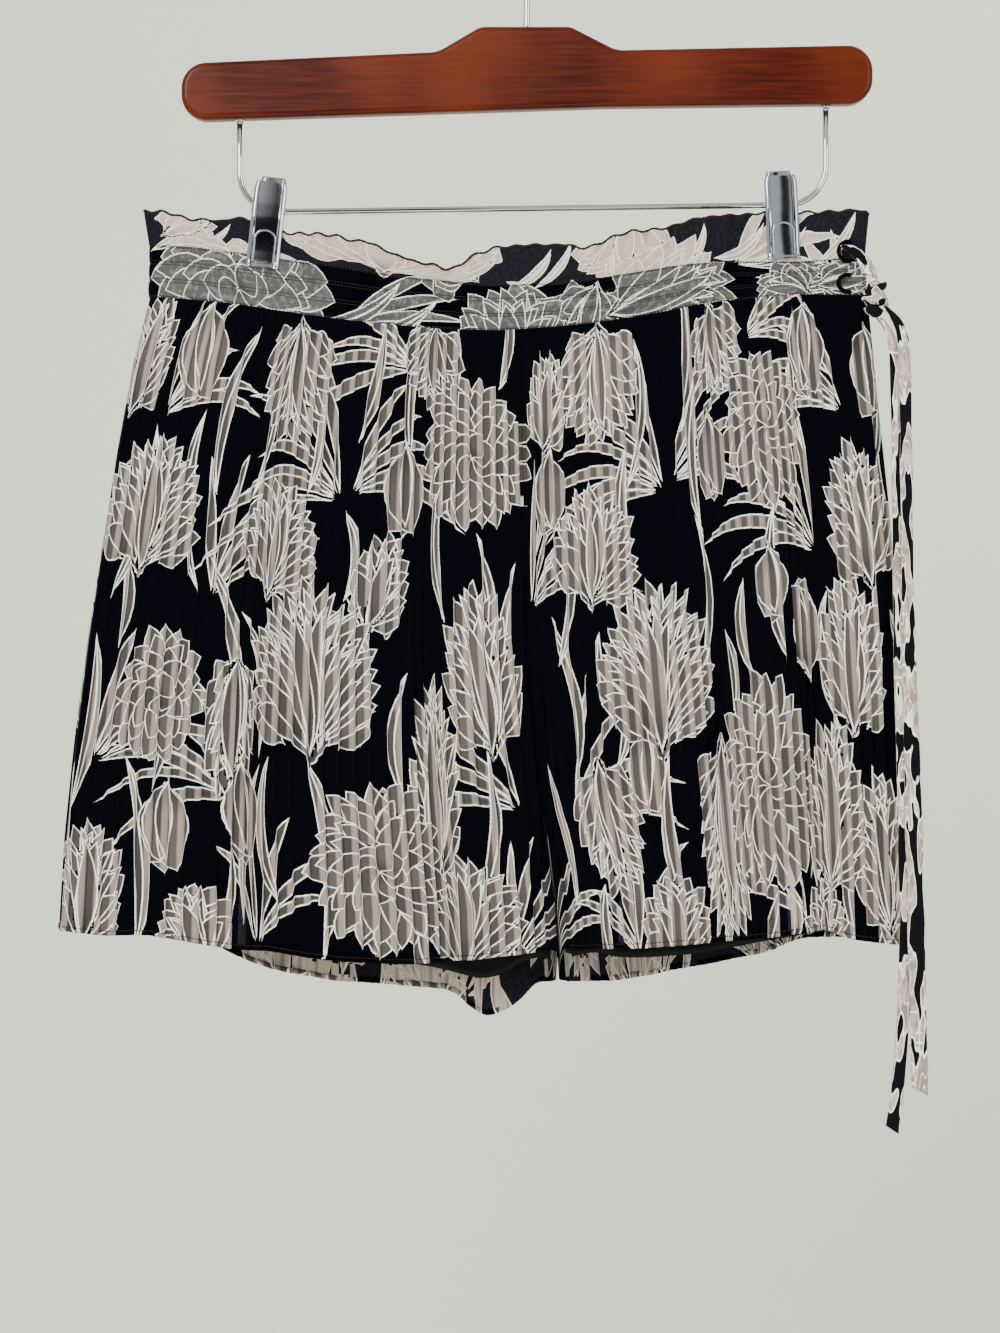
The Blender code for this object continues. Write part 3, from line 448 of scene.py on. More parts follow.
# The same for the trim: the frill lies from v 400 to 422 and the band from 422 to 444
TRIM_BLOOMS = (
    ("rose", 92, 437, 94, 46, 4), ("plume", 232, 446, 58, 46, 4), ("plume", 312, 437, 56, 66, 82),
    ("plume", 372, 439, 36, 30, -70), ("plume", 404, 436, 26, 34, 84), ("plume", 168, 404, 104, 34, 4),
    ("plume", 206, 410, 46, 26, -40), ("plume", 289, 408, 50, 34, 186),
    ("plume", 66, 408, 30, 30, 60), ("plume", 270, 440, 34, 34, 200), ("rose", 586, 434, 84, 46, 4),
    ("plume", 470, 438, 60, 46, 84), ("plume", 532, 404, 80, 34, 6), ("plume", 668, 438, 66, 48, -84),
    ("plume", 640, 406, 70, 34, 184), ("rose", 12, 434, 50, 44, 0), ("rose", 724, 436, 60, 46, 8),
)
TRIM_LEAVES = (
    (134, 446, 176, 424, 6, 3.4), (146, 450, 196, 430, 6, 3.0), (160, 450, 188, 438, 4, 2.6),
    (240, 430, 268, 424, 4, 2.6), (250, 448, 286, 428, 6, 3.4), (346, 446, 330, 420, -4, 3.2),
    (376, 446, 420, 428, 6, 4.0), (372, 440, 414, 420, 6, 3.4), (48, 424, 70, 400, 4, 3.4),
    (58, 426, 88, 402, 5, 3.0), (232, 424, 252, 402, 4, 3.0), (244, 424, 262, 398, 4, 2.6),
    (318, 424, 330, 402, 4, 2.6), (336, 420, 362, 404, 5, 3.0), (350, 424, 384, 406, 5, 2.6),
    (388, 424, 408, 400, 4, 2.8), (520, 446, 556, 426, 6, 3.4), (610, 424, 622, 402, 4, 3.0),
    (440, 446, 430, 420, -4, 3.2), (700, 446, 690, 404, -6, 3.4), (500, 424, 488, 402, -4, 2.8),
)
TRIM_TUFTS = (
    (146, 446, 5, 70, 50, 52, 6), (262, 446, 4, -60, 50, 44, 6), (346, 424, 5, 60, 70, 50, 8),
    (404, 448, 5, -40, 70, 44, 6), (620, 446, 5, 60, 60, 54, 6), (520, 448, 5, -66, 60, 50, 6),
)

CHANCE = np.random.default_rng(7)


class Stroke:
    """A petal or leaf on the flat cloth: a bent line with a half width along it."""

    def __init__(self, start, bend, tip, half_width, tone, blunt=0.9, veined=0.0):
        t = np.linspace(0.0, 1.0, STROKE_POINTS)[:, None]
        start, bend, tip = (np.asarray(p, dtype=float) for p in (start, bend, tip))
        self.points = (1 - t) ** 2 * start + 2 * t * (1 - t) * bend + t**2 * tip
        share = t[:, 0]
        shape = (share + 0.02) ** 0.8 * (1.0 - share) ** blunt
        self.half = half_width * shape / shape.max() - LINE_ROOM
        self.tone = tone + veined
        reach = half_width + STROKE_MARGIN
        self.low = self.points.min(0) - reach
        self.high = self.points.max(0) + reach

    def moved(self, across):
        """The same stroke further along the layout."""
        other = Stroke.__new__(Stroke)
        other.points = self.points + [across, 0.0]
        other.half, other.tone = self.half, self.tone
        other.low, other.high = self.low + [across, 0.0], self.high + [across, 0.0]
        return other

    def locate(self, spots):
        """Signed distance from the line, half width there and share of the length, for each spot."""
        start, run = self.points[:-1], np.diff(self.points, axis=0)
        offset = spots[:, None, :] - start[None]
        share = np.clip((offset * run).sum(2) / (run * run).sum(1), 0.0, 1.0)
        gap = offset - share[..., None] * run
        away = np.hypot(gap[..., 0], gap[..., 1])
        nearest = away.argmin(1)
        rows = np.arange(len(spots))
        part = share[rows, nearest]
        side = np.sign(run[nearest, 0] * gap[rows, nearest, 1] - run[nearest, 1] * gap[rows, nearest, 0])
        half = self.half[nearest] * (1 - part) + self.half[nearest + 1] * part
        return away[rows, nearest] * side, half, (nearest + part) / (STROKE_POINTS - 1)


def turned(points, u, v, turn):
    """Points turned by degrees round their own zero and moved to (u, v)."""
    angle = math.radians(turn)
    spin = np.array([[math.cos(angle), -math.sin(angle)], [math.sin(angle), math.cos(angle)]])
    return np.asarray(points) @ spin.T + [u, v]


def petal_ring(count, first, last, reach, root, wide, tall, pull, width_share, bend):
    """Petals of one ring: tips spread from the first to the last angle, roots drawn towards one point."""
    petals = []
    size = math.sqrt(wide * tall) / RING_FULL_SIZE
    count = max(2, round(count * min(1.0, max(RING_LEAST, size))))
    for index in range(count):
        share = (index + 0.5) / count
        angle = math.radians(first + (last - first) * share + CHANCE.uniform(-3.0, 3.0))
        long = reach * CHANCE.uniform(0.9, 1.08)
        tip = np.array([math.sin(angle) * wide / 2.0 * long, -math.cos(angle) * tall / 2.0 * long])
        base = root + (tip - root) * pull
        across = np.array([-(tip - base)[1], (tip - base)[0]])
        middle = (base + tip) / 2.0 + across * bend * (1.0 if math.sin(angle) < 0.0 else -1.0)
        arc = abs(math.radians(last - first)) / count * (wide + tall) / 4.0 * reach
        petals.append((base, middle, tip, max(2.2, arc * width_share)))
    return petals


# For each kind of flower: height of its root, and its rings as (petals, first and last angle, reach, pull of
# the roots towards the tips, width share, bend), nearest first
RINGS = {
    "rose": (0.0, (
        (9, 0, 360, 0.36, 0.02, 0.62, 0.10), (15, 8, 368, 0.66, 0.08, 0.52, 0.16),
        (20, 3, 363, 0.86, 0.24, 0.54, 0.18), (24, 6, 366, 1.02, 0.42, 0.60, 0.16),
    )),
    "plume": (0.46, (
        (4, -24, 24, 0.72, 0.02, 0.80, 0.08), (10, -74, 74, 0.64, 0.03, 0.56, 0.20),
        (14, -104, 104, 0.82, 0.12, 0.56, 0.24), (18, -124, 124, 0.96, 0.28, 0.58, 0.22),
        (20, -132, 132, 1.05, 0.46, 0.64, 0.18),
    )),
    "bud": (0.48, ((2, -30, 30, 0.7, 0.02, 0.8, 0.08), (5, -80, 80, 1.0, 0.05, 0.6, 0.16))),
}


def bloom(kind, u, v, wide, tall, turn):
    """Strokes of one flower head, nearest first, with a broad one under its petals."""
    root_height, rows = RINGS[kind]
    root = np.array([0.0, tall * root_height])
    rings = [
        petal_ring(count, first, last, reach, root, wide, tall, pull, share, bend)
        for count, first, last, reach, pull, share, bend in rows
    ]
    strokes = []
    for base, middle, tip, half_width in (petal for ring in rings for petal in ring):
        base, middle, tip = turned([base, middle, tip], u, v, turn)
        strokes.append(Stroke(base, middle, tip, half_width, CHANCE.uniform(0.0, 0.9)))
    foot = (0.0, tall * 0.42) if kind == "rose" else root
    body = turned([foot, (0.0, 0.0), (0.0, -tall * 0.42)], u, v, turn)
    strokes.append(Stroke(*body, wide * 0.41, 0.5, blunt=0.5))
    return strokes


def tuft(u, v, blades, turn, spread, long, droop):
    """Arching blades from one root."""
    strokes = []
    for index in range(blades):
        angle = math.radians(turn + spread * (index / (blades - 1) - 0.5) + CHANCE.uniform(-4.0, 4.0))
        reach = long * CHANCE.uniform(0.75, 1.1)
        heading = np.array([math.sin(angle) * 1.35, -math.cos(angle)])
        root = np.array([u, v]) + heading * reach * 0.06
        tip = np.array([u, v]) + heading * reach + [0.0, droop * abs(math.sin(angle)) + 4.0]
        bend = np.array([u, v]) + heading * reach * 0.55 + [0.0, -droop * 0.45]
        strokes.append(Stroke(root, bend, tip, CHANCE.uniform(2.6, 4.2), CHANCE.uniform(0.0, 0.6), 1.0))
    return strokes


def leaf(u, v, tip_u, tip_v, bend, half_width):
    """A long leaf or stem with a pale vein."""
    start, tip = np.array([u, v], dtype=float), np.array([tip_u, tip_v], dtype=float)
    across = np.array([-(tip - start)[1], (tip - start)[0]]) / np.linalg.norm(tip - start)
    middle = (start + tip) / 2.0 + across * bend * 2.0
    return [Stroke(start, middle, tip, half_width, CHANCE.uniform(0.0, 0.5), veined=1.0)]


def layout():
    """Every stroke, nearest first, repeated a round further on to both sides."""
    strokes = []
    drawn = ((bloom, BLOOMS + TRIM_BLOOMS), (leaf, LEAVES + TRIM_LEAVES), (tuft, TUFTS + TRIM_TUFTS))
    for draw, rows in drawn:
        for row in rows:
            strokes += draw(*row)
    across = [0.0, LAYOUT_WIDTH, -LAYOUT_WIDTH]
    return [stroke.moved(step) for stroke in strokes for step in across]


def paint(data, flat):
    """Stores, for each corner of each face, where it lies on the nearest strokes over that face."""
    faces = len(flat)
    found = np.zeros((PRINT_LAYERS, faces, 4, 4), dtype=np.float32)
    found[..., 1] = NO_STROKE
    taken = np.zeros(faces, dtype=int)
    low, high = flat.min(1), flat.max(1)
    field_low, field_high = low.min(0), high.max(0)
    for stroke in STROKES:
        if (stroke.high < field_low).any() or (stroke.low > field_high).any():
            continue
        near = (high > stroke.low).all(1) & (low < stroke.high).all(1) & (taken < PRINT_LAYERS)
        near = np.nonzero(near)[0]
        if not len(near):
            continue
        away, half, share = stroke.locate(flat[near].reshape(-1, 2))
        edge = (np.abs(away) - half).reshape(-1, 4)
        hit = edge.min(1) < EDGE_SOFTNESS
        where = near[hit]
        tone = np.full(len(away), stroke.tone)
        facts = np.stack([away, half, share, tone], axis=-1).reshape(-1, 4, 4)
        found[taken[where], where] = facts[hit]
        taken[where] += 1
        taken[where[edge[hit].max(1) < EDGE_COVERED]] = PRINT_LAYERS
    for layer in range(PRINT_LAYERS):
        spot = data.attributes.new(f"print_{layer}", "FLOAT_COLOR", "CORNER")
        spot.data.foreach_set("color", found[layer].reshape(-1))


# ---- Shells of cloth ----
def ripple(x, seed, pitch, count=7):
    """A gentle uneven wave along x, between -1 and 1."""
    chance = np.random.default_rng(seed)
    total = np.zeros_like(np.asarray(x, dtype=float))
    for _ in range(count):
        total += np.sin(2.0 * math.pi * x / (pitch * chance.uniform(0.6, 1.7)) + chance.uniform(0.0, 6.28))
    return total / math.sqrt(count)


def sheet_mesh(name, points, flat, outward, material, fold=None, printed=True):
    """A shell through a grid of points (rows, columns, 3) with flat-cloth coordinates."""
    rows, columns = points.shape[:2]
    index = np.arange(rows * columns).reshape(rows, columns)
    corners = [index[:-1, :-1], index[1:, :-1], index[1:, 1:], index[:-1, 1:]]
    if not outward:
        corners = corners[::-1]
    faces = np.stack([c.ravel() for c in corners], axis=-1)
    data = bpy.data.meshes.new(name)
    data.from_pydata((points.reshape(-1, 3) * MM).tolist(), [], faces.tolist())
    cloth = flat.reshape(-1, 2)[faces]
    spots = data.attributes.new("cloth", "FLOAT2", "CORNER")
    spots.data.foreach_set("vector", cloth.reshape(-1).astype(np.float32))
    if fold is not None:
        stripe = data.attributes.new("fold", "FLOAT", "CORNER")
        stripe.data.foreach_set("value", fold.reshape(-1)[faces].reshape(-1).astype(np.float32))
    if printed:
        paint(data, cloth)
    data.shade_smooth()
    return place_in_scene(name, data, material)


def flat_grid(across, down):
    """Flat-cloth coordinates of a grid, from the columns' or points' places across and the rows' down."""
    return np.stack(np.broadcast_arrays(across, np.asarray(down)[:, None]), axis=-1)


def pleat_flat(place):
    """Flat cloth used up to a share of one pleat's pitch."""
    seen = place / PLEAT_RIDGE_AT * PLEAT_SEEN_FLAT
    beyond = (place - PLEAT_RIDGE_AT) / (1.0 - PLEAT_RIDGE_AT)
    hidden = PLEAT_SEEN_FLAT + beyond * (PLEAT_FLAT - PLEAT_SEEN_FLAT)
    return seen if place <= PLEAT_RIDGE_AT else hidden


def pleat_columns(side, face, steps):
    """For each column of a panel from the side to the centre: its place, relief, flat cloth and share of
    a pleat's seen face."""
    starts = pleat_starts(side, face, PLEATS_PER_PANEL)
    forward = runs_forward(side, face)
    columns = []
    for index, (start, end) in enumerate(zip(starts[:-1], starts[1:])):
        for step in steps[:-1]:
            share = step if forward else 1.0 - step
            rise = min(share / PLEAT_RIDGE_AT, (1.0 - share) / (1.0 - PLEAT_RIDGE_AT))
            number = index if forward else PLEATS_PER_PANEL - 1 - index
            flat = number * PLEAT_FLAT + pleat_flat(share)
            columns.append((start + (end - start) * step, rise, flat, min(1.0, share / PLEAT_RIDGE_AT)))
    last = PANEL_FLAT if forward else 0.0
    columns.append((1.0, 0.0, last, 0.0))
    return np.array(columns)


SEEN_STEPS = (0.0, 0.15, 0.32, 0.50, 0.68, 0.80, 0.86, 0.93, 1.0)
BACK_SEEN_STEPS = tuple(1.0 - step for step in SEEN_STEPS[::-1])


def panel_points(side, face, levels, columns, out=0.0, above=0.0):
    """Grid of points of a leg panel, with its soft uneven ripples. It is moved out by out at the hem and
    by above more over the rest of its height."""
    grid = []
    wander = 0.35 * ripple(np.arange(len(columns)), 3 + len(side), 26.0)
    for level in levels:
        deep = PLEAT_DEPTH_WAIST + (PLEAT_DEPTH_HEM - PLEAT_DEPTH_WAIST) * level
        deep *= 1.0 + 0.18 * ripple(np.array([level * 300.0]), len(face), 160.0)[0]
        lift = out + above * (1.0 - smooth_step((level - 0.80) / 0.14))
        relief = columns[:, 1] * deep + wander * smooth_step(level * 2.0) + lift
        row = half_section(side, face, level, columns[:, 0], relief)
        row[:, 0] = clear_of_centre(side, level, row[:, 0], crotch_share(level))
        grid.append(row)
    return np.array(grid)


def clear_of_centre(side, level, x, part):
    """Moves the last pleats of a leg back, so that its inner corner stays on its own side of the centre."""
    side_x, centre_x = edges_at(side, level)
    gap = LEG_GAP / 2.0 * max(0.0, level - CROTCH_ROW) / (1.0 - CROTCH_ROW)
    room = (CROTCH_CORNER + gap) * part
    share = (x - side_x) / (centre_x - side_x)
    away = 1.0 if side == "left" else -1.0
    return x - away * room * np.clip((share - 0.8) / 0.2, 0.0, 1.0)


def with_margins(values):
    """A column's values for a row that also has its two seam margins."""
    return np.concatenate(([values[0]], values, [values[-1]]))


def panel_sheet(name, side, face, points, columns, levels, outward, material):
    """A shell over a leg panel's grid of points, printed from the cloth that its columns take up."""
    across = with_margins(columns[:, 2]) + PANEL_START[(face, side)]
    flat = flat_grid(across, np.asarray(levels) * CLOTH_LENGTH)
    fold = np.broadcast_to(with_margins(columns[:, 3])[None, :], points.shape[:2])
    piece = sheet_mesh(f"{name}_{face}_{side}", points, flat, outward, material, fold)
    return piece


def leg_panel(side, face, rows, material):
    """The right side of a pleated panel. It also gives the panel's columns."""
    forward = runs_forward(side, face)
    columns = pleat_columns(side, face, SEEN_STEPS if forward else BACK_SEEN_STEPS)
    levels = np.linspace(0.0, 1.0, rows)
    points = panel_points(side, face, levels, columns)
    piece = panel_sheet("cloth", side, face, points, columns, levels, forward, material)
    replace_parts(piece, f"{face}_{side}")
    return piece, columns


def crotch_share(level):
    """0 above the crotch, and 1 from where the inner corner of a leg has its full radius."""
    return float(np.clip((level - CROTCH_TOP) / (CROTCH_ROW - CROTCH_TOP), 0.0, 1.0))


def inner_return(side, face, level, last, part, first_turn, lining=False):
    """Points from the end of a leg's face round its inner corner to the inseam, drawn in above the crotch."""
    inward = 1.0 if side == "left" else -1.0
    away = -1.0 if face == "front" else 1.0
    middle = middle_y(level) - 4.0
    radius = CROTCH_CORNER * part
    centre_y = last[1] - away * radius
    turns = np.radians(np.linspace(first_turn, 90.0, 6))
    line = [(last[0] + inward * radius * math.sin(a), centre_y + away * radius * math.cos(a)) for a in turns]
    corner = line[-1]
    stop = corner[1] + (middle + away * SEAM_GAP / 2.0 - corner[1]) * part
    line += [(corner[0], corner[1] + (stop - corner[1]) * s) for s in np.linspace(0.14, 1.0, 7)]
    front_z = float(height_at("front", last[0], level, lining))
    back_z = float(height_at("back", last[0], level, lining))
    own_z = front_z if face == "front" else back_z
    middle_z = (front_z + back_z) / 2.0
    reach = abs(last[1] - middle)
    shares = [min(1.0, abs(y - middle) / reach) for _, y in line]
    return np.array([(x, y, middle_z + (own_z - middle_z) * share) for (x, y), share in zip(line, shares)])


def inner_leg(side, face, material):
    """The crotch extension: round the inner corner of the leg, back to the inseam."""
    forward = runs_forward(side, face)
    levels = np.concatenate((np.linspace(CROTCH_TOP, CROTCH_ROW, 8), np.linspace(CROTCH_ROW, 1.0, 12)[1:]))
    grid = []
    for level in levels:
        part = crotch_share(level)
        row = half_section(side, face, level, np.array([0.0, 1.0]), np.zeros(2))
        row[:, 0] = clear_of_centre(side, level, row[:, 0], part)
        grid.append(inner_return(side, face, level, row[-1], part, first_turn=0.0))
    points = np.array(grid)
    steps = np.linspace(0.0, EXTENSION_WIDTH, points.shape[1])
    across = PANEL_START[(face, side)] + (PANEL_FLAT + steps if forward else -steps)
    flat = flat_grid(across, levels * CLOTH_LENGTH)
    fold = np.zeros(points.shape[:2])
    piece = sheet_mesh(f"inner_leg_{face}_{side}", points, flat, forward, material, fold)
    return piece


def wrong_side(side, face, material):
    """The inside of a pleated panel, seen at the open hem."""
    forward = runs_forward(side, face)
    columns = pleat_columns(side, face, (0.0, 0.43, 0.86, 1.0) if forward else (0.0, 0.14, 0.57, 1.0))
    levels = np.concatenate((np.linspace(0.0, 0.8, 30), np.linspace(0.81, 1.0, 60)))
    points = panel_points(side, face, levels, columns, out=-0.55, above=-0.9)
    return panel_sheet("wrong_side", side, face, points, columns, levels, not forward, material)


# Section of the rolled hem: (share of its depth above the panel's edge, how far out), round to the wrong side
HEM_DEEP = 2.5 / CLOTH_LENGTH
HEM_SECTION = (
    (1.0, 0.05), (0.92, 0.42), (0.45, 0.5), (0.0, 0.32), (0.0, -0.55), (0.5, -0.85), (0.95, -0.8),
    (1.0, -0.45),
)
HEM_STITCHES_AT = 0.82
HEM_HANGS = 0.3


def hem_fold(side, face, columns, material):
    """The narrow rolled hem, which closes the panel's edge round to the wrong side, and its stitches."""
    levels = [1.0 - HEM_DEEP * share for share, _ in HEM_SECTION]
    points = np.array([
        panel_points(side, face, [level], columns, out=out)[0] for level, (_, out) in zip(levels, HEM_SECTION)
    ])
    points[3:5, :, 2] -= HEM_HANGS
    piece = panel_sheet("hem", side, face, points, columns, levels, runs_forward(side, face), material)
    line = panel_points(side, face, [1.0 - HEM_DEEP * HEM_STITCHES_AT], columns, out=0.5)[0]
    sewing = stitches(f"hem_stitches_{face}_{side}", line, 2.0, 0.8, 0.28, THREAD_BROWN)
    return piece, sewing


# Shares along a stitch and the thread's thickness there
STITCH_PLACES = np.array([0.0, 0.2, 0.8, 1.0])
STITCH_GIRTHS = (0.35, 1.0, 1.0, 0.35)


def stitches(name, path, pitch, share, radius, material):
    """A row of short thread stitches along a line of points."""
    path = np.asarray(path, dtype=float)
    length = travelled(path)
    mesh = bmesh.new()
    for index in range(int(length[-1] / pitch)):
        middle = points_at(path, length, (STITCH_PLACES * share + index) * pitch)
        heading = middle[-1] - middle[0]
        size = np.linalg.norm(heading)
        if size < 1e-6:
            continue
        side = np.cross(heading / size, (0.0, 0.0, 1.0))
        if np.linalg.norm(side) < 1e-3:
            side = np.array([1.0, 0.0, 0.0])
        side = side / np.linalg.norm(side)
        up = np.cross(side, heading / size)
        rings = []
        for place, girth in zip(middle, STITCH_GIRTHS):
            ring = []
            for turn in range(4):
                angle = math.pi / 2.0 * turn + math.pi / 4.0
                offset = (side * math.cos(angle) + up * math.sin(angle)) * radius * girth
                ring.append(mesh.verts.new((place + offset) * MM))
            rings.append(ring)
        join_rings(mesh, rings, closed=False)
    return from_bmesh(name, mesh, material)


def join_rings(mesh, rings, closed):
    """Faces from each ring of points to the next, and round to the first or over both ends."""
    sides = len(rings[0])
    for a, b in zip(rings, rings[1:] + rings[:1] if closed else rings[1:]):
        for turn in range(sides):
            mesh.faces.new((a[turn], a[(turn + 1) % sides], b[(turn + 1) % sides], b[turn]))
    if not closed:
        mesh.faces.new(rings[0][::-1])
        mesh.faces.new(rings[-1])


def place_in_scene(name, data, material):
    """An object on the part's body, with its one material."""
    data.materials.append(material)
    piece = bpy.data.objects.new(name, data)
    bpy.context.scene.collection.objects.link(piece)
    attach(piece, "root")
    return piece


def thicken(piece, wall_thick):
    """Gives a shell a wall, inwards."""
    wall = piece.modifiers.new("wall", "SOLIDIFY")
    wall.thickness = wall_thick * MM
    wall.offset = -1.0


def from_bmesh(name, mesh, material):
    """A smooth piece from a bmesh, which is freed."""
    data = bpy.data.meshes.new(name)
    bmesh.ops.recalc_face_normals(mesh, faces=mesh.faces)
    mesh.to_mesh(data)
    mesh.free()
    data.shade_smooth()
    piece = place_in_scene(name, data, material)
    return piece


# ---- Waistband, frill ----
BAND_COLUMNS = 190
BAND_THICK = 1.3
BAND_SEAMS = (-1.0, -2.0 / 3.0, -1.0 / 3.0, 0.0)
TWIN_ROWS = (-0.03, 0.03)
FRILL_THICK = 0.7
# The trim's flat cloth: its start along the layout, its length round both faces, its top and its height
TRIM_START = 240.0
TRIM_ROUND = 760.0
TRIM_DROP = 400.0
TRIM_HEIGHT = 22.0


def trim_points(face, places, levels, relief_at, lift_at=None):
    """Grid of points across one face, side seam to side seam."""
    grid = []
    for level in levels:
        halves = []
        for side in ("left", "right"):
            side_x, centre_x = edges_at(side, level)
            columns_x = side_x + (centre_x - side_x) * places
            free = 1.0 - clip_share(columns_x)
            half = half_section(side, face, level, places, relief_at(level, columns_x, free), seam=False)
            if lift_at is not None:
                half[:, 2] += lift_at(level, half[:, 0])
            halves.append(half)
        grid.append(np.vstack((halves[0], halves[1][-2::-1])))
    return np.array(grid)


def band_relief(level, x, free):
    """Casings between stitch lines, drawn up into fine uneven gathers."""
    share = BAND_CASINGS * (level + 1.0)
    bulge = CASING_BULGE * abs(math.sin(math.pi * share)) ** 0.7
    casing = min(BAND_CASINGS - 1, int(share)) if level < 0.0 else BAND_CASINGS - 1
    depth = abs(math.sin(math.pi * share))
    shirr = 0.20 * ripple(x, 31 + casing, 4.2) * (0.35 + 0.65 * depth) + 0.16 * ripple(x, 47, 9.0)
    pucker = 0.22 * ripple(x, 53, 3.1) * (1.0 - depth)
    return (bulge + 0.1) * (0.25 + 0.75 * free) + (shirr + pucker) * (0.3 + 0.7 * free)


def moved_out(relief_at, out):
    """The same relief, but further out."""
    return lambda level, x, free: relief_at(level, x, free) + out


def trim_sheet(name, face, points, levels, outward, material, printed_at=None):
    """A shell of the trim. Its flat cloth runs across from a side seam and down from the frill's edge, as at
    printed_at where that is another shell of the same cloth."""
    across = (points if printed_at is None else printed_at)[..., 0] + TRIM_START
    if face == "back":
        across = TRIM_ROUND - across
    flat = flat_grid(across, (np.asarray(levels) + 2.0) * TRIM_HEIGHT + TRIM_DROP)
    piece = sheet_mesh(f"{name}_{face}", points, flat, outward, material)
    return piece


def waistband(face):
    """The band's casings, its inner face and the twin rows of stitches at its seams."""
    outward = face == "front"
    places = np.concatenate(([0.0], np.linspace(0.012, 1.0, BAND_COLUMNS)))
    levels = np.linspace(-1.0, 0.0, 31)
    points = trim_points(face, places, levels, band_relief)
    band = trim_sheet("band", face, points, levels, outward, BAND_CLOTH)
    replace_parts(band, f"waistband_{face}")
    inner = trim_points(face, places[::4], levels[::3], moved_out(band_relief, -BAND_THICK))
    attached = [trim_sheet("band_inside", face, inner, levels[::3], not outward, BAND_CLOTH)]
    for number, level in enumerate(BAND_SEAMS):
        for twin, shift in enumerate(TWIN_ROWS):
            row_level = min(-0.005, max(-0.995, level + shift))
            line = trim_points(face, places, [row_level], moved_out(band_relief, 0.12))[0]
            name = f"band_stitches_{face}_{number}_{twin}"
            attached.append(stitches(name, line, 1.9, 0.8, 0.2, THREAD_DARK))


def ruffle_relief(level, x, free):
    """Waves of the frill, growing towards its free edge."""
    rise = min(1.0, max(0.0, -1.0 - level))
    big = 0.5 + 0.5 * ripple(x, 71, 13.0, 5) / 1.6
    fine = ripple(x, 77, 6.0, 6)
    low = ripple(x, 83, 3.4, 6)
    wave = RUFFLE_WAVE * np.clip(big, 0.0, 1.15) * (0.16 + 0.84 * rise)
    wave += 0.32 * fine * (0.35 + 0.65 * rise) + 0.22 * low * (1.0 - rise)
    return wave * (0.12 + 0.88 * free)


def ruffle_lift(level, x):
    """How far the frill's edge rises and falls."""
    rise = max(0.0, -1.0 - level)
    return 0.55 * ripple(x, 91, 11.0, 5) * rise


def ruffle(face):
    """The frill's outer and inner face and its rolled edge."""
    outward = face == "front"
    places = np.linspace(0.0, 1.0, 210)
    levels = np.linspace(-1.0, -2.0, 26)[::-1]
    points = trim_points(face, places, levels, ruffle_relief, ruffle_lift)
    frill = trim_sheet("frill", face, points, levels, outward, FRILL_CLOTH)
    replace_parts(frill, f"ruffle_{face}")
    inside = trim_points(face, places, levels, moved_out(ruffle_relief, -FRILL_THICK), ruffle_lift)
    back = trim_sheet("frill_inside", face, inside, levels, not outward, FRILL_CLOTH, printed_at=points)
    edge = (points[0] + inside[0]) / 2.0
    roll = cord_mesh(f"frill_edge_{face}", edge, 0.62, 8, THREAD_BROWN, wobble=0.10)


def cord_mesh(name, path, radius, sides, material, wobble=0.0, flatten=1.0):
    """A round or flattened cord through points, closed to a ring where the last point is the first."""
    path = np.asarray(path, dtype=float)
    ring_shaped = np.allclose(path[0], path[-1])
    if ring_shaped:
        path = path[:-1]
        tangent = np.roll(path, -1, axis=0) - np.roll(path, 1, axis=0)
    else:
        tangent = np.gradient(path, axis=0)
    tangent /= np.linalg.norm(tangent, axis=1)[:, None] + 1e-9
    mesh = bmesh.new()
    rings = []
    side = np.array([0.0, 1.0, 0.0]) if abs(tangent[0, 1]) < 0.9 else np.array([1.0, 0.0, 0.0])
    for index, (place, heading) in enumerate(zip(path, tangent)):
        side = side - heading * (side @ heading)
        side /= np.linalg.norm(side)
        up = np.cross(heading, side)
        swell = 1.0 + wobble * math.sin(index * 2.1)
        ring = []
        for turn in range(sides):
            angle = 2.0 * math.pi * turn / sides
            offset = side * math.cos(angle) * radius * flatten + up * math.sin(angle) * radius
            ring.append(mesh.verts.new((place + offset * swell) * MM))
        rings.append(ring)
    join_rings(mesh, rings, ring_shaped)
    return from_bmesh(name, mesh, material)


# ---- Lining ----
LINING_COLUMNS = 64
LINING_PARTS_FROM = 0.56
LINING_PARTS_OVER = 0.14
LINING_FLAT = 210.0
LINING_WALL = 0.5


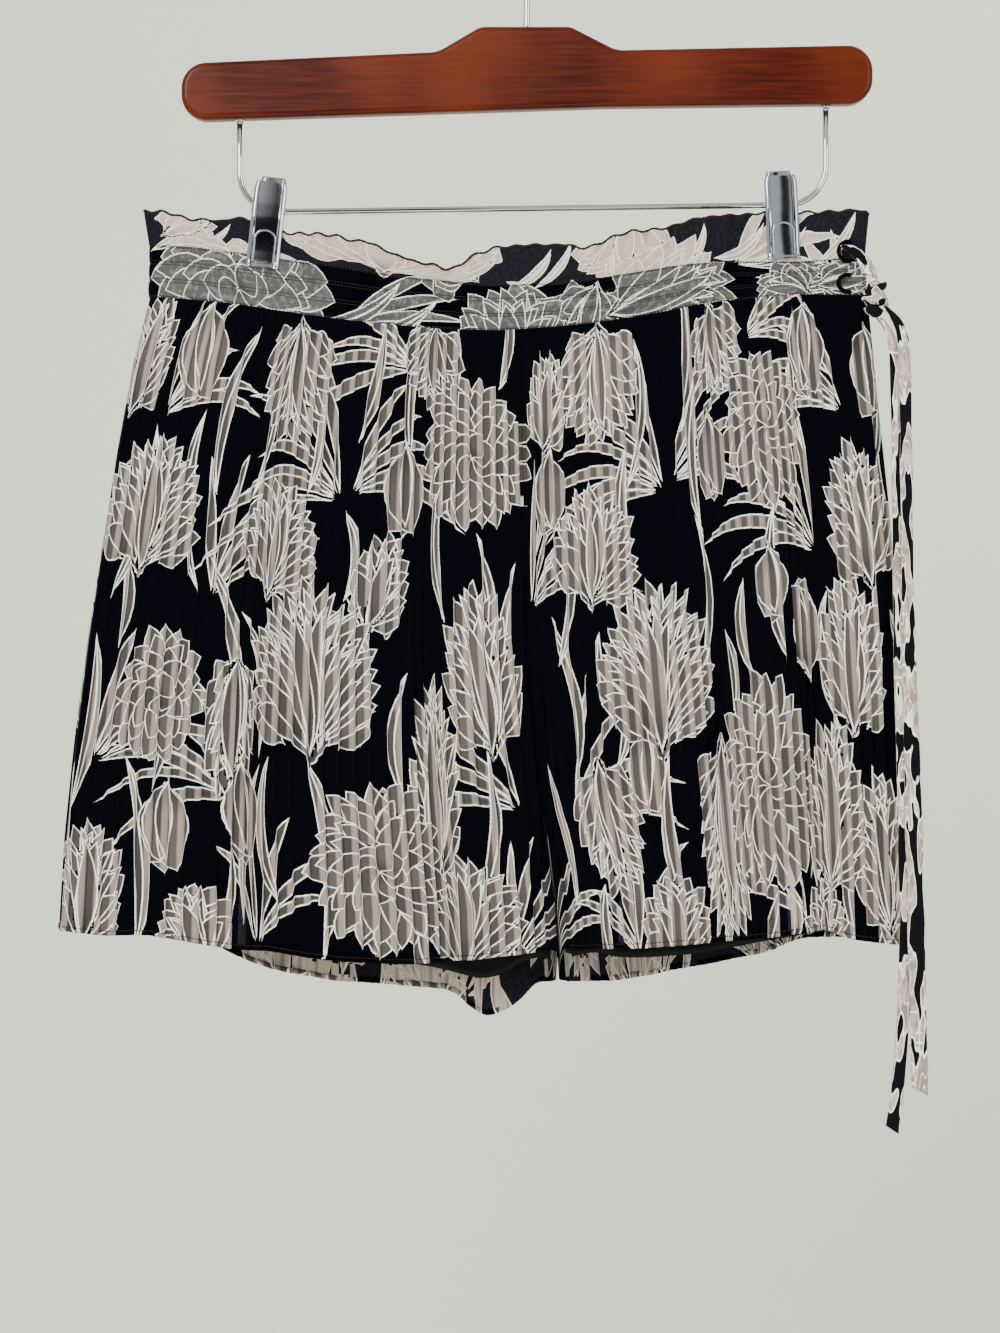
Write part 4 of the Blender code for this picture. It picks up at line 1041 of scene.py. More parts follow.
def leg_lining(side):
    """Plain satin leg, front and back, with its inner-leg returns and the stitches of its hem."""
    inner = 1.0 if side == "left" else -1.0
    for face in ("front", "back"):
        places = 1.0 - np.cos(np.linspace(0.0, math.pi / 2.0, LINING_COLUMNS))
        levels = np.concatenate((np.linspace(0.0, 0.68, 18), np.linspace(0.70, 1.0, 34)))
        grid = []
        for level in levels:
            soft = 0.16 * ripple(places * 190.0, 13 + len(face) + len(side), 34.0)
            relief = soft * smooth_step(level * 2.0)
            row = half_section(side, face, level, places, relief, inset=LINING_INSET + 1.0, lining=True)
            clear = LINING_CLEAR * smooth_step((level - LINING_PARTS_FROM) / LINING_PARTS_OVER)
            row[:, 0] -= inner * clear * smooth_step((np.concatenate(([0.0], places, [1.0])) - 0.8) / 0.2)
            part = crotch_share(level)
            row[:, 0] = clear_of_centre(side, level, row[:, 0], part)
            tail = inner_return(side, face, level, row[-1], part, first_turn=15.0, lining=True)
            grid.append(np.vstack((row, tail)))
        points = np.array(grid)
        flat = flat_grid(np.linspace(0.0, LINING_FLAT, points.shape[1]), levels * CLOTH_LENGTH)
        forward = runs_forward(side, face)
        piece = sheet_mesh(f"satin_{face}_{side}", points, flat, forward, LINING_SATIN, printed=False)
        thicken(piece, LINING_WALL)
        hem_line = points[-3][:LINING_COLUMNS]
        row = stitches(f"satin_stitches_{face}_{side}", hem_line, 2.6, 0.6, 0.14, THREAD_DARK)
        if face == "front":
            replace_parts(piece, f"lining_{side}")


# ---- Tie and thread loops ----
def smooth_path(points, count):
    """A Catmull-Rom curve through points, at even steps."""
    points = np.asarray(points, dtype=float)
    ends = np.vstack((2 * points[0] - points[1], points, 2 * points[-1] - points[-2]))
    curve = []
    for a, b, c, d in zip(ends[:-3], ends[1:-2], ends[2:-1], ends[3:]):
        for t in np.linspace(0.0, 1.0, 24, endpoint=False):
            square, cube = 2 * a - 5 * b + 4 * c - d, 3 * b - a - 3 * c + d
            curve.append(0.5 * ((2 * b) + (c - a) * t + square * t**2 + cube * t**3))
    curve.append(points[-1])
    curve = np.array(curve)
    length = travelled(curve)
    return points_at(curve, length, np.linspace(0.0, length[-1], count))


# (piece, path, width, turn of its width in degrees at the start and at the end, rows, flat cloth's start,
# share of its width drawn in near the knot, node)
STRIPS = (
    ("strap", TIE_STRAP, 8.0, -6.0, -6.0, 24, 4.0, 0.0, "tie_strap"),
    ("strand_inner", TIE_INNER, 6.6, -4.0, -2.0, 150, 30.0, 0.2, "tie_end_inner"),
    ("strand_outer", TIE_OUTER, 8.6, -3.0, 3.0, 150, 60.0, 0.28, "tie_end_outer"),
)
STRIP_COLUMNS = 22
STRIP_HALF_THICK = 0.62
STRIP_BOW = 0.35
STRIP_CREASE = (0.16, 0.45, 0.10)
STRIP_PINCH = (0.30, 0.03)
STRIP_NARROW = (120.0, 140.0)
STRIP_CUT_SLOPE = 2.2
STRIP_WALL = 0.25


def tie_strip(name, path, width, turn_from, turn_to, count, start_u, narrow, node):
    """A strip folded flat along its length: a closed fold of cloth, drawn in where it leaves the knot and
    cut at a slope."""
    path = smooth_path(path, count)
    long = float(np.linalg.norm(np.diff(path, axis=0), axis=1).sum())
    grid = np.zeros((count, STRIP_COLUMNS + 1, 3))
    flat = np.zeros((count, STRIP_COLUMNS + 1, 2))
    crease_deep, crease_at, crease_half = STRIP_CREASE
    pinch_deep, pinch_long = STRIP_PINCH
    full_from, full_over = STRIP_NARROW
    for index, place in enumerate(path):
        share = index / (count - 1)
        sway = 5.0 * ripple(np.array([share * 300.0]), len(name), 90.0)[0]
        turn = math.radians(turn_from + (turn_to - turn_from) * share + sway)
        pinch = 1.0 - pinch_deep * math.exp(-((share / pinch_long) ** 2))
        pinch *= 1.0 - narrow * (1.0 - float(smooth_step((share * long - full_from) / full_over)))
        wide = width / 2.0 * pinch * (1.0 + 0.05 * ripple(np.array([share * 400.0]), 5 + len(name), 55.0)[0])
        for column in range(STRIP_COLUMNS + 1):
            angle = 2.0 * math.pi * column / STRIP_COLUMNS
            across = math.cos(angle)
            thick = STRIP_HALF_THICK * math.copysign(abs(math.sin(angle)) ** 0.5, math.sin(angle))
            crease = -crease_deep * math.exp(-(((across - crease_at) / crease_half) ** 2)) * (thick < 0.0)
            bow = -STRIP_BOW * (1.0 - across * across)
            x = place[0] + across * wide * math.cos(turn)
            y = place[1] + across * wide * math.sin(turn) + thick + bow + crease
            end = STRIP_CUT_SLOPE * across if index == count - 1 else 0.0
            grid[index, column] = (x, y, place[2] - end)
            under = width if thick > 0.0 else 0.0
            flat[index, column] = (start_u + across * width / 2.0 + under, share * long)
    piece = sheet_mesh(name, grid, flat, True, TIE_CLOTH, printed=False)
    tube = bmesh.new()
    tube.from_mesh(piece.data)
    bmesh.ops.remove_doubles(tube, verts=tube.verts, dist=1e-7)
    bmesh.ops.recalc_face_normals(tube, faces=tube.faces)
    tube.to_mesh(piece.data)
    tube.free()
    thicken(piece, STRIP_WALL)
    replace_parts(piece, node)


# (height over the knot's middle, tilt in degrees, size) of the turns of strip round the knot
KNOT_TURNS = ((4.6, 20.0, 1.0), (-0.6, -16.0, 1.04), (-5.0, 14.0, 0.92))
KNOT_TURN_OUT = 0.1


def knot():
    """An overhand knot: a rounded core with three turns of the strip over it."""
    mesh = bmesh.new()
    bmesh.ops.create_uvsphere(mesh, u_segments=40, v_segments=28, radius=1.0)
    for point in mesh.verts:
        height = point.co.z
        angle = math.atan2(point.co.y, point.co.x)
        wrap = math.cos(height * 7.0 + 0.7 * math.sin(angle))
        swell = 0.98 + 0.11 * wrap + 0.05 * math.sin(4.0 * angle + height * 2.0)
        swell += 0.02 * math.sin(9.0 * angle)
        point.co.x *= KNOT_HALF[0] * swell
        point.co.y *= KNOT_HALF[1] * swell
        point.co.z *= KNOT_HALF[2]
        point.co = (point.co + Vector(KNOT_AT)) * MM
    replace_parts(from_bmesh("knot", mesh, KNOT_CLOTH), "tie_knot")
    for number, (height, tilt, size) in enumerate(KNOT_TURNS):
        reach_x, reach_y = ((half + KNOT_TURN_OUT) * size for half in KNOT_HALF[:2])
        shrink = math.sqrt(max(0.2, 1.0 - (height / KNOT_HALF[2]) ** 2))
        slope = math.tan(math.radians(tilt)) * reach_x
        ring = []
        for step in range(41):
            angle = 2.0 * math.pi * step / 40.0
            x = KNOT_AT[0] + reach_x * shrink * math.cos(angle)
            y = KNOT_AT[1] + reach_y * shrink * math.sin(angle)
            ring.append((x, y, KNOT_AT[2] + height + slope * math.cos(angle)))
        name = f"knot_turn_{number}"
        cord_mesh(name, ring, 2.1, 12, KNOT_CLOTH, wobble=0.06, flatten=0.42)


LOOP_FROM, LOOP_ROUND = 80.0, 200.0
LOOP_TWIST = 0.75
LOOP_STRAND_OUT = 0.55
LOOP_STRAND = 0.66


def thread_loop(name, x, z, half_height, reach, upper_y, lower_y):
    """A carrier of three threads twisted together."""
    path = []
    for step in range(61):
        share = step / 60.0
        angle = math.radians(LOOP_FROM + LOOP_ROUND * share)
        y = upper_y + (lower_y - upper_y) * share - LOOP_ARCH * math.sin(math.pi * share)
        path.append((x + reach * math.cos(angle), y, z + half_height * math.sin(angle)))
    path = np.array(path)
    middle = np.array([x, 0.0, z])
    for number in range(3):
        strand = number * 2.0 * math.pi / 3.0
        twisted = path.copy()
        for index in range(len(path)):
            phase = index * LOOP_TWIST + strand
            outward = path[index] - middle
            outward[1] = 0.0
            outward /= np.linalg.norm(outward)
            twisted[index] += outward * LOOP_STRAND_OUT * math.cos(phase)
            twisted[index, 1] += LOOP_STRAND_OUT * math.sin(phase)
        thread = cord_mesh(f"carrier_{name}_{number}", twisted, LOOP_STRAND, 8, LOOP_BLACK)
        if number == 0:
            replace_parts(thread, f"loop_{name}")


# ---- Hanger ----
def hanger_bar():
    """The wooden bar: its outline with a rounded edge."""
    outline = rounded(BAR_OUTLINE, 14)
    even = []
    for here, there in zip(outline, outline[1:] + outline[:1]):
        steps = max(1, int(np.linalg.norm(there - here) / 4.0))
        even += [here + (there - here) * step / steps for step in range(steps)]
    curve = bpy.data.curves.new("bar_outline", "CURVE")
    curve.dimensions = "2D"
    curve.fill_mode = "BOTH"
    curve.extrude = (BAR_THICK / 2.0 - BAR_EDGE) * MM
    curve.bevel_depth = BAR_EDGE * MM
    curve.bevel_resolution = 6
    curve.offset = -BAR_EDGE * MM
    spline = curve.splines.new("POLY")
    spline.points.add(len(even) - 1)
    for place, (x, z) in zip(spline.points, even):
        place.co = (x * MM, z * MM, 0.0, 1.0)
    spline.use_cyclic_u = True
    drawn = bpy.data.objects.new("bar_outline", curve)
    drawn.rotation_euler = (math.pi / 2.0, 0.0, 0.0)
    bpy.context.scene.collection.objects.link(drawn)
    bpy.context.view_layer.update()
    seen = drawn.evaluated_get(bpy.context.evaluated_depsgraph_get())
    data = bpy.data.meshes.new_from_object(seen)
    data.name = "bar"
    data.transform(drawn.matrix_world)
    bpy.data.objects.remove(drawn)
    data.materials.clear()
    data.shade_smooth()
    data.set_sharp_from_angle(angle=math.radians(40.0))
    piece = place_in_scene("bar", data, WOOD)
    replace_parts(piece, "hanger_bar")


def collar(name, x, z, radius):
    """A ring where a wire enters the wood."""
    ring = [(x + radius * math.cos(a), radius * math.sin(a), z) for a in np.linspace(0.0, 2.0 * math.pi, 33)]
    return cord_mesh(name, ring, 0.45, 8, CHROME)


HOOK_EASE = 9.0
HOOK_TIP_SWELL = 1.18
HOOK_COLLAR_Z = -59.7
WIRE_COLLARS_Z = (-107.6, -100.6)


def hanger_hook():
    """The wire hook: its stem, an eased bend into the round part, a rounded tip and a collar."""
    low, neck = HOOK_STEM
    reach = HOOK_INSIDE + HOOK_WIRE
    centre_z = -HOOK_INSIDE
    first, last = (math.radians(angle) for angle in HOOK_ANGLES)
    meet = np.array([reach * math.cos(first), centre_z + reach * math.sin(first)])
    heading = np.array([-math.sin(first), math.cos(first)])
    start = np.array([0.0, neck])
    points = [(0.0, 0.0, z) for z in np.linspace(low, neck, 10, endpoint=False)]
    for share in np.linspace(0.0, 1.0, 24, endpoint=False):
        place = (
            (1 - share) ** 3 * start + 3 * share * (1 - share) ** 2 * (start + [0.0, HOOK_EASE])
            + 3 * share**2 * (1 - share) * (meet - heading * HOOK_EASE) + share**3 * meet
        )
        points.append((place[0], 0.0, place[1]))
    for angle in np.linspace(first, last, 90):
        points.append((reach * math.cos(angle), 0.0, centre_z + reach * math.sin(angle)))
    piece = cord_mesh("hook", points, HOOK_WIRE, 28, CHROME)
    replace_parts(piece, "hanger_hook")
    tip = bmesh.new()
    bmesh.ops.create_uvsphere(tip, u_segments=20, v_segments=12, radius=HOOK_WIRE * HOOK_TIP_SWELL * MM)
    bmesh.ops.translate(tip, verts=tip.verts, vec=Vector(points[-1]) * MM)
    from_bmesh("hook_tip", tip, CHROME)
    collar("hook_collar", 0.0, HOOK_COLLAR_Z, HOOK_WIRE + 0.55)


def hanger_wire():
    """The wire that carries the clips, bent down from the bar at both ends."""
    left, right = WIRE_LEGS
    corners = (
        (left, WIRE_TOPS[0], 0.0), (left, wire_z(left), WIRE_BEND), (right, wire_z(right), WIRE_BEND),
        (right, WIRE_TOPS[1], 0.0),
    )
    path = [(x, 0.0, z) for x, z in rounded(corners, 24)]
    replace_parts(cord_mesh("clip_wire", path, CLIP_WIRE, 24, CHROME), "hanger_wire")
    for x, z in zip(WIRE_LEGS, WIRE_COLLARS_Z):
        collar(f"wire_collar_{x:.0f}", x, z, CLIP_WIRE + 0.5)


def jaw_point(wire_x, lean, length, share, across, depth):
    """A place on a clip: share of its length, distance across and depth towards the viewer."""
    tilt = math.radians(lean)
    down = share * length
    x = wire_x + across * math.cos(tilt) - down * math.sin(tilt)
    z = wire_z(wire_x) - down * math.cos(tilt) - across * math.sin(tilt)
    return (x, -depth, z)


# Share of a jaw's half width that is flat, radius of its rolled edge, and the back jaw's smaller half width
JAW_FLAT = 0.9
JAW_ROLL = 0.9
BACK_JAW_IN = 1.7
JAW_WALL = 0.8


def clip_jaw(side, face, wire_x, lean, length):
    """A pressed steel jaw with rolled edges: a plate whose side flanges turn back to the wire."""
    away = -1.0 if face == "front" else 1.0
    half = CLIP_WIDTH / 2.0 - (0.0 if face == "front" else BACK_JAW_IN)
    profile = np.array(FRONT_JAW if face == "front" else BACK_JAW)
    shares = np.linspace(profile[0, 0], profile[-1, 0], 44)
    grid = []
    for share in shares:
        depth = np.interp(share, profile[:, 0], profile[:, 1])
        flange = np.interp(share, profile[:, 0], profile[:, 2])
        press = 0.35 * math.exp(-(((share - 0.55) / 0.28) ** 2))
        taper = 1.0 - 0.10 * math.exp(-(((share - profile[0, 0]) / 0.07) ** 2))
        row = []
        for spot in np.linspace(-1.0, 1.0, 35):
            edge = abs(spot)
            if edge > JAW_FLAT:
                turn = min((edge - JAW_FLAT) / (1.0 - JAW_FLAT) * math.pi / 2.0 * 1.6, math.pi / 2.0)
                across = half - JAW_ROLL + JAW_ROLL * math.sin(turn)
                deep = depth - JAW_ROLL * (1.0 - math.cos(turn))
                deep -= max(0.0, flange - JAW_ROLL) * max(0.0, (edge - 0.9625) / 0.0375)
            else:
                across = (half - JAW_ROLL) * edge / JAW_FLAT
                bead = math.exp(-(((edge - 0.80) / 0.07) ** 2))
                crown = 0.35 * (1.0 - (edge / JAW_FLAT) ** 2)
                deep = depth + crown + 0.28 * bead - press * (1.0 - bead) * (edge < 0.74)
            across = math.copysign(across, spot) * taper
            row.append(jaw_point(wire_x, lean, length, share, across, -away * deep))
        grid.append(row)
    points = np.array(grid)
    flat = np.zeros((*points.shape[:2], 2))
    piece = sheet_mesh(f"jaw_{side}_{face}", points, flat, face == "front", STEEL, printed=False)
    thicken(piece, JAW_WALL)
    rim = piece.modifiers.new("edge", "BEVEL")
    rim.width = 0.18 * MM
    rim.segments = 2
    rim.limit_method = "ANGLE"
    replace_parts(piece, f"clip_{side}_{face}")


BEAD_HALF = 5.4


def jaw_details(side, wire_x, lean, length):
    """The arched bead pressed round the lower part of a front jaw, and the pivot pin's ends."""
    feet = []
    for across, first, last in ((BEAD_HALF, 0.92, 0.54), (-BEAD_HALF, 0.54, 0.92)):
        shares = np.linspace(first, last, 8)
        feet.append([jaw_point(wire_x, lean, length, s, across, 4.3 + (0.92 - s) * 1.9) for s in shares])
    arch = [
        jaw_point(wire_x, lean, length, 0.52 - 0.17 * math.sin(a), BEAD_HALF * math.cos(a), 5.45)
        for a in np.linspace(0.0, math.pi, 33)
    ]
    cord_mesh(f"jaw_bead_{side}", feet[0] + arch + feet[1], 0.5, 10, STEEL)
    tilt = math.radians(lean)
    for end, letter in ((-1.0, "l"), (1.0, "r")):
        centre = np.array(jaw_point(wire_x, lean, length, 0.0, end * CLIP_WIDTH / 2.0, 2.9))
        run = np.array([math.cos(tilt), 0.0, -math.sin(tilt)]) * end
        ends = [centre - run * 0.2, centre + run * 0.5]
        cord_mesh(f"jaw_pin_{side}_{letter}", ends, 1.1, 16, STEEL)


# ---- Materials ----
def shade(red, green, blue):
    """Linear colour of a display colour given from 0 to 255."""
    parts = [c / 255.0 for c in (red, green, blue)]
    return tuple(c / 12.92 if c <= 0.04045 else ((c + 0.055) / 1.055) ** 2.4 for c in parts) + (1.0,)


WEAVE_RATE = 14.0


class Graph:
    """A short way to write a material's nodes."""

    def __init__(self, name):
        self.material = bpy.data.materials.new(name)
        self.material.use_nodes = True
        self.nodes = self.material.node_tree.nodes
        self.links = self.material.node_tree.links
        self.shader = self.nodes["Principled BSDF"]

    def add(self, kind, **settings):
        node = self.nodes.new(kind)
        for key, value in settings.items():
            setattr(node, key, value)
        return node

    def put(self, socket, value):
        if isinstance(value, bpy.types.NodeSocket):
            self.links.new(value, socket)
        else:
            socket.default_value = value

    def math(self, operation, first, second=0.0, third=0.0):
        node = self.add("ShaderNodeMath", operation=operation)
        for socket, value in zip(node.inputs, (first, second, third)):
            self.put(socket, value)
        return node.outputs[0]

    def ramp(self, value, start, stop):
        """0 at start and 1 at stop, eased between."""
        node = self.add("ShaderNodeMapRange", interpolation_type="SMOOTHSTEP")
        for key, number in (("Value", value), ("From Min", start), ("From Max", stop)):
            self.put(node.inputs[key], number)
        return node.outputs[0]

    def mix(self, factor, first, second):
        node = self.add("ShaderNodeMix", data_type="RGBA")
        self.put(node.inputs[0], factor)
        self.put(node.inputs[6], first)
        self.put(node.inputs[7], second)
        return node.outputs[2]

    def attribute(self, name, output="Vector"):
        return self.add("ShaderNodeAttribute", attribute_name=name).outputs[output]

    def split(self, vector):
        node = self.add("ShaderNodeSeparateXYZ")
        self.links.new(vector, node.inputs[0])
        return node.outputs

    def object_place(self, scale=None):
        """Coordinates in the piece's own metres, or stretched by a scale along each axis."""
        place = self.add("ShaderNodeTexCoord").outputs["Object"]
        return place if scale is None else self.stretched(place, scale)

    def stretched(self, vector, scale):
        node = self.add("ShaderNodeMapping")
        node.inputs["Scale"].default_value = scale
        self.links.new(vector, node.inputs["Vector"])
        return node.outputs[0]

    def near(self, value, middle, outer, inner):
        """1 where a value is within inner of the middle, 0 from outer on."""
        return self.ramp(self.math("ABSOLUTE", self.math("SUBTRACT", value, middle)), outer, inner)

    def noise(self, vector, scale, detail=2.0):
        node = self.add("ShaderNodeTexNoise")
        self.put(node.inputs["Scale"], scale)
        self.put(node.inputs["Detail"], detail)
        self.links.new(vector, node.inputs["Vector"])
        return node.outputs["Fac"]

    def bump(self, height, strength, distance):
        node = self.add("ShaderNodeBump")
        self.put(node.inputs["Strength"], strength)
        self.put(node.inputs["Distance"], distance)
        self.links.new(height, node.inputs["Height"])
        self.links.new(node.outputs[0], self.shader.inputs["Normal"])

    def weave(self, where):
        """The fine weave, from millimetres of flat cloth."""
        threads = [self.math("SINE", self.math("MULTIPLY", where[axis], WEAVE_RATE)) for axis in (0, 1)]
        self.bump(self.math("MULTIPLY", *threads), 0.25, 0.0001)

    def look(self, **values):
        for key, value in values.items():
            self.put(self.shader.inputs[key.replace("_", " ")], value)


def printed_cloth(name, ground, fill, edge, line, stripe=True, outline=0.62):
    """Cloth with the strokes of the print: ground, a fill in two tones and a pale line inside each outline,
    with a painted highlight and painted crease shade on pleats.
    """
    graph = Graph(name)
    cloth = graph.attribute("cloth")
    where = graph.split(cloth)
    rough_edge = graph.math("SUBTRACT", graph.noise(cloth, 0.9, 3.0), 0.5)
    fleck = graph.noise(cloth, 0.55, 2.0)
    worn_ground = tuple(c * 1.8 for c in ground[:3]) + (1.0,)
    colour = graph.mix(graph.ramp(fleck, 0.35, 0.75), ground, worn_ground)
    covered = 0.0
    if stripe:
        # Painted highlight: the fill is painted paler over the last part of each pleat's seen face, next to
        # its ridge.
        lit = graph.ramp(graph.attribute("fold", "Fac"), 0.55, 0.73)
    else:
        # Paler patches of the fill, spread by noise.
        lit = graph.ramp(graph.noise(cloth, 0.35, 2.0), 0.50, 0.62)
    for layer in reversed(range(PRINT_LAYERS)):
        node = graph.add("ShaderNodeAttribute", attribute_name=f"print_{layer}")
        parts = graph.split(node.outputs["Vector"])
        tone = node.outputs["Alpha"]
        gap = graph.math("ABSOLUTE", parts[0])
        over = graph.math("SUBTRACT", gap, parts[1])
        over = graph.math("MULTIPLY_ADD", rough_edge, 0.7, over)
        inside = graph.ramp(over, 0.14, -0.14)
        border = graph.ramp(over, -outline - 0.25, -outline + 0.1)
        veined = graph.math("GREATER_THAN", tone, 0.98)
        vein = graph.math("MULTIPLY", veined, graph.ramp(gap, 0.55, 0.25))
        shadow = graph.math("MULTIPLY", graph.ramp(over, -1.0, -2.2), graph.ramp(parts[2], 0.45, 0.0))
        # Each stroke's own tone, plus the painted highlight on pleats, sets how pale its fill is.
        light = graph.math("MULTIPLY_ADD", graph.math("FRACT", tone), 0.22, graph.math("MULTIPLY", lit, 0.85))
        body = graph.mix(light, fill, edge)
        body = graph.mix(graph.math("MULTIPLY", shadow, 0.55), body, ground)
        body = graph.mix(graph.math("MAXIMUM", border, vein), body, line)
        colour = graph.mix(inside, colour, body)
        covered = graph.math("MAXIMUM", covered, inside)
    if stripe:
        # Painted crease shade: the ground colour is painted into the start of each pleat's seen face, at the
        # crease by the previous pleat.
        crease = graph.math("MULTIPLY", graph.ramp(graph.attribute("fold", "Fac"), 0.16, 0.02), 0.42)
        colour = graph.mix(crease, colour, ground)
    graph.weave(where)
    graph.look(Base_Color=colour, Roughness=0.9, Sheen_Roughness=0.5)
    graph.look(Sheen_Weight=graph.math("MULTIPLY_ADD", covered, 0.10, 0.01))
    graph.look(Specular_IOR_Level=graph.math("MULTIPLY_ADD", covered, 0.12, 0.03))
    return graph.material


def plain(name, colour, roughness, metallic=0.0, grain=0.0, scale=40.0, specular=0.5):
    """A plain surface with a slight uneven tone."""
    graph = Graph(name)
    tone = graph.noise(graph.object_place(), scale, 3.0)
    darker = tuple(c * (1.0 - grain) for c in colour[:3]) + (1.0,)
    graph.look(Base_Color=graph.mix(tone, darker, colour), Metallic=metallic)
    graph.look(Roughness=graph.math("MULTIPLY_ADD", tone, roughness * 0.3, roughness * 0.85))
    graph.look(Specular_IOR_Level=specular)
    return graph.material


def lacquered_wood():
    """Red-brown wood under gloss lacquer, its grain along the bar, with a few small chips."""
    graph = Graph("lacquered_wood")
    place = graph.object_place()
    grain = graph.noise(graph.stretched(place, (14.0, 160.0, 260.0)), 2.2, 6.0)
    broad = graph.noise(place, 11.0, 2.0)
    colour = graph.mix(graph.ramp(grain, 0.30, 0.74), shade(50, 9, 3), shade(78, 23, 8))
    colour = graph.mix(graph.math("MULTIPLY", graph.ramp(broad, 0.35, 0.7), 0.6), colour, shade(108, 43, 15))
    rub = graph.add("ShaderNodeTexVoronoi")
    rub.inputs["Scale"].default_value = 95.0
    graph.links.new(place, rub.inputs["Vector"])
    spots = graph.ramp(rub.outputs["Distance"], 0.10, 0.06)
    patches = graph.ramp(graph.noise(place, 30.0), 0.66, 0.70)
    colour = graph.mix(graph.math("MULTIPLY", spots, patches), colour, shade(214, 200, 186))
    graph.look(Base_Color=colour, Roughness=graph.math("MULTIPLY_ADD", broad, 0.08, 0.30))
    graph.look(Coat_Weight=0.10, Coat_Roughness=0.06)
    graph.look(Specular_IOR_Level=0.10)
    graph.bump(grain, 0.08, 0.0002)
    return graph.material


def strip_cloth(name, cloth_of, patch_scale):
    """Folded strips of the print: pale and dark patches with pale rims, drawn out along the strip."""
    graph = Graph(name)
    cloth = cloth_of(graph)
    drawn_out = graph.stretched(cloth, patch_scale)
    patch = graph.noise(drawn_out, 1.0, 1.0)
    petal = graph.noise(drawn_out, 2.3, 0.0)
    broad = graph.noise(cloth, 0.12, 1.0)
    pale = graph.mix(graph.ramp(broad, 0.40, 0.60), shade(150, 138, 129), shade(190, 175, 163))
    pale = graph.mix(graph.near(petal, 0.5, 0.034, 0.016), pale, IVORY)
    colour = graph.mix(graph.ramp(patch, 0.475, 0.485), NAVY, pale)
    colour = graph.mix(graph.near(patch, 0.495, 0.022, 0.012), colour, IVORY)
    graph.look(Base_Color=colour, Roughness=0.9, Sheen_Weight=0.05, Specular_IOR_Level=0.15)
    graph.weave(graph.split(cloth))
    return graph.material


NAVY = shade(2, 2, 7)
TAUPE = shade(60, 57, 55)
CREAM = shade(147, 136, 127)
IVORY = shade(252, 246, 236)
PLEATED_CLOTH = printed_cloth("pleated_print", NAVY, TAUPE, CREAM, IVORY)
WRONG_SIDE = printed_cloth(
    "wrong_side_print", shade(24, 24, 32), shade(150, 138, 130), shade(196, 180, 170), shade(214, 202, 192),
)
BAND_CLOTH = printed_cloth(
    "band_print", shade(1, 1, 5), shade(74, 74, 73), shade(106, 105, 101), shade(244, 238, 228),
    stripe=False, outline=0.45,
)
FRILL_CLOTH = printed_cloth(
    "frill_print", shade(22, 22, 28), shade(186, 170, 158), shade(202, 186, 173), shade(246, 239, 229),
    stripe=False, outline=0.45,
)
TIE_CLOTH = strip_cloth("tie_cloth", lambda graph: graph.attribute("cloth"), (0.17, 0.042, 1.0))
KNOT_CLOTH = strip_cloth("knot_cloth", lambda graph: graph.object_place((900.0,) * 3), (0.17, 0.17, 0.17))
LINING_SATIN = plain("lining_satin", shade(3, 3, 6), 0.5, grain=0.3, scale=60.0, specular=0.15)
THREAD_BROWN = plain("thread_brown", shade(44, 29, 22), 0.8, grain=0.4, scale=900.0, specular=0.2)
THREAD_DARK = plain("thread_dark", shade(10, 10, 15), 0.7, grain=0.3, scale=900.0)
LOOP_BLACK = plain("loop_black", shade(2, 2, 4), 0.85, grain=0.4, scale=700.0, specular=0.08)
WOOD = lacquered_wood()
CHROME = plain("chrome", (0.80, 0.80, 0.82, 1.0), 0.10, metallic=1.0, grain=0.08, scale=50.0)
STEEL = plain("pressed_steel", (0.56, 0.58, 0.63, 1.0), 0.10, metallic=1.0, grain=0.12, scale=80.0)


# ---- Build ----
PANEL_ROWS = {"front": 220, "back": 130}
STROKES = layout()

for panel_face in ("front", "back"):
    for panel_side in ("left", "right"):
        panel, panel_columns = leg_panel(panel_side, panel_face, PANEL_ROWS[panel_face], PLEATED_CLOTH)
        attached = [
            inner_leg(panel_side, panel_face, PLEATED_CLOTH), wrong_side(panel_side, panel_face, WRONG_SIDE),
            *hem_fold(panel_side, panel_face, panel_columns, PLEATED_CLOTH),
        ]
    waistband(panel_face)
    ruffle(panel_face)
for lining_side in ("left", "right"):
    leg_lining(lining_side)

for strip in STRIPS:
    tie_strip(*strip)
knot()
for loop in LOOPS:
    thread_loop(*loop)

hanger_bar()
hanger_hook()
hanger_wire()
for clip_side, clip_x, clip_lean, clip_length in CLIPS:
    for clip_face in ("front", "back"):
        clip_jaw(clip_side, clip_face, clip_x, clip_lean, clip_length)
    jaw_details(clip_side, clip_x, clip_lean, clip_length)

# ---- Room, camera and light ----
WALL_COLOUR = plain("backdrop", shade(250, 251, 238), 0.9, grain=0.02, scale=3.0, specular=0.1)


def quad(name, corners, material):
    """A flat face of the room."""
    data = bpy.data.meshes.new(name)
    data.from_pydata(corners, [], [(0, 1, 2, 3)])
    data.materials.append(material)
    piece = bpy.data.objects.new(name, data)
    bpy.context.scene.collection.objects.link(piece)
    return piece


quad("backdrop", [(-6, 1.6, -3), (6, 1.6, -3), (6, 1.6, 4), (-6, 1.6, 4)], WALL_COLOUR)
quad("floor", [(-6, -6, -1.4), (6, -6, -1.4), (6, 1.6, -1.4), (-6, 1.6, -1.4)], WALL_COLOUR)

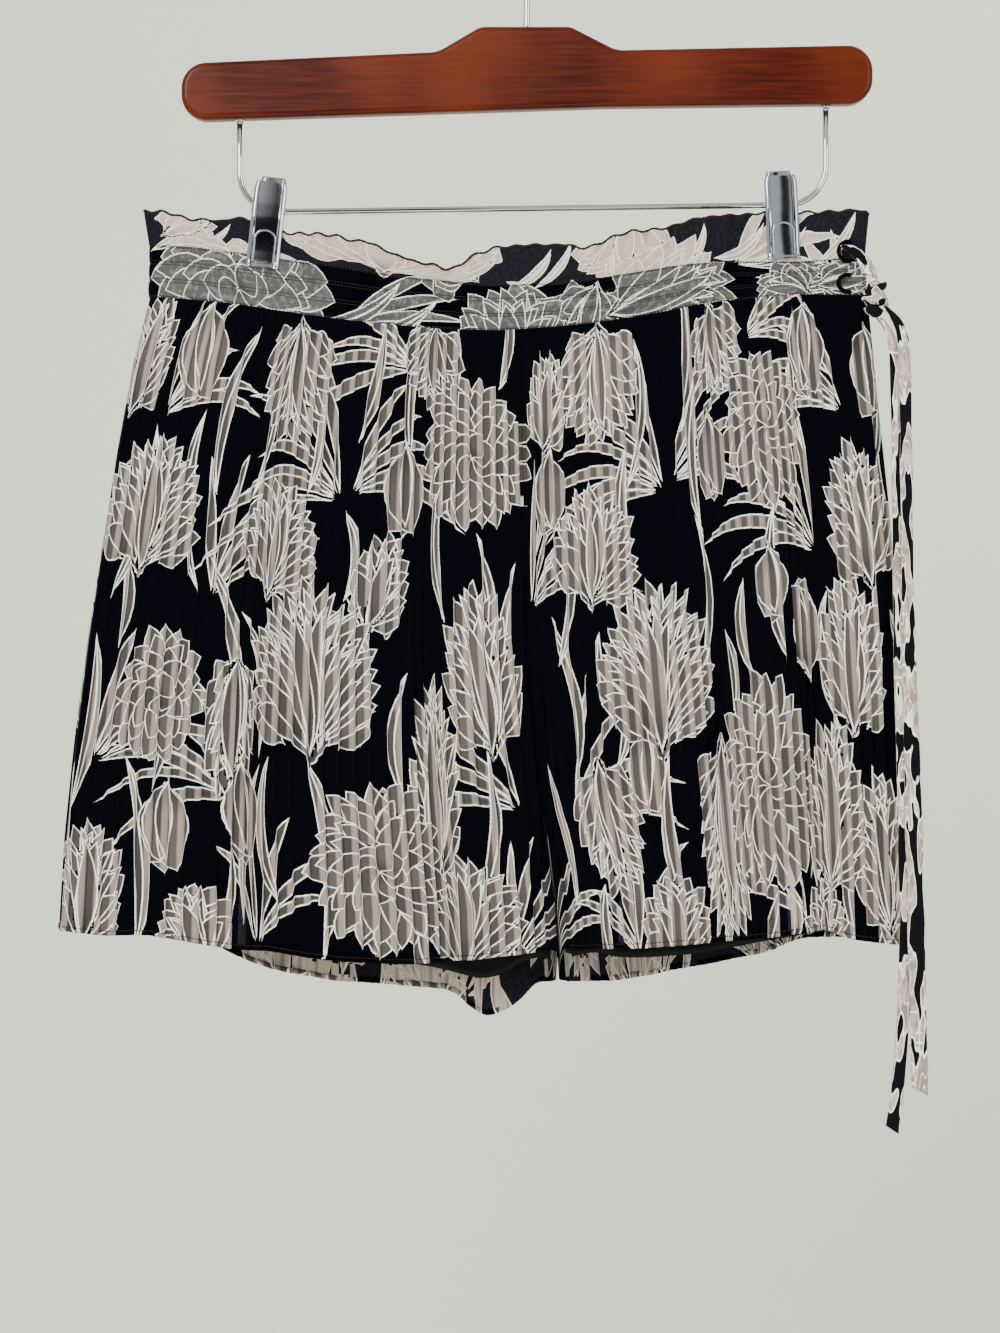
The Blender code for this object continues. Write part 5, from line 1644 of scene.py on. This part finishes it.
# Seen only by the metal, as the dark of the room in front of it
CARD = plain("dark_card", shade(12, 13, 20), 0.9, specular=0.0)
for number, (low_x, high_x) in enumerate(((-0.62, -0.03), (0.24, 0.40))):
    corners = [(low_x, -1.3, -0.7), (high_x, -1.3, -0.7), (high_x, -1.3, 0.9), (low_x, -1.3, 0.9)]
    card = quad(f"dark_card_{number}", corners, CARD)
    card.visible_camera = False
    card.visible_diffuse = False
    card.visible_shadow = False

CAMERA_AT = (-13.9, -1500.0, -388.5)
FRAME_HEIGHT = 686.0
SENSOR = 24.0
lens = bpy.data.cameras.new("camera")
lens.sensor_fit = "VERTICAL"
lens.sensor_height = SENSOR
lens.lens = SENSOR * -CAMERA_AT[1] / FRAME_HEIGHT
camera = bpy.data.objects.new("camera", lens)
camera.location = [c * MM for c in CAMERA_AT]
camera.rotation_euler = (math.pi / 2.0, 0.0, 0.0)
bpy.context.scene.collection.objects.link(camera)
bpy.context.scene.camera = camera


def area_light(name, place, aim, size, power, colour=(1.0, 1.0, 1.0)):
    light = bpy.data.lights.new(name, "AREA")
    light.shape = "RECTANGLE"
    light.size, light.size_y = size
    light.energy = power
    light.color = colour
    lamp = bpy.data.objects.new(name, light)
    lamp.location = place
    lamp.rotation_euler = (Vector(aim) - Vector(place)).to_track_quat("-Z", "Y").to_euler()
    bpy.context.scene.collection.objects.link(lamp)


area_light("key", (-0.9, -1.9, 0.7), (0.0, 0.0, -0.35), (1.4, 1.2), 68.0, (1.0, 0.99, 0.97))
area_light("fill", (1.5, -1.6, 0.1), (0.0, 0.0, -0.35), (1.2, 1.6), 20.0, (0.97, 0.98, 1.0))
area_light("back_fill", (0.6, 1.4, 0.6), (0.0, 0.0, -0.3), (1.2, 1.2), 14.0)
world = bpy.data.worlds.new("room")
world.use_nodes = True
world.node_tree.nodes["Background"].inputs["Color"].default_value = (0.80, 0.81, 0.79, 1.0)
world.node_tree.nodes["Background"].inputs["Strength"].default_value = 0.80
bpy.context.scene.world = world
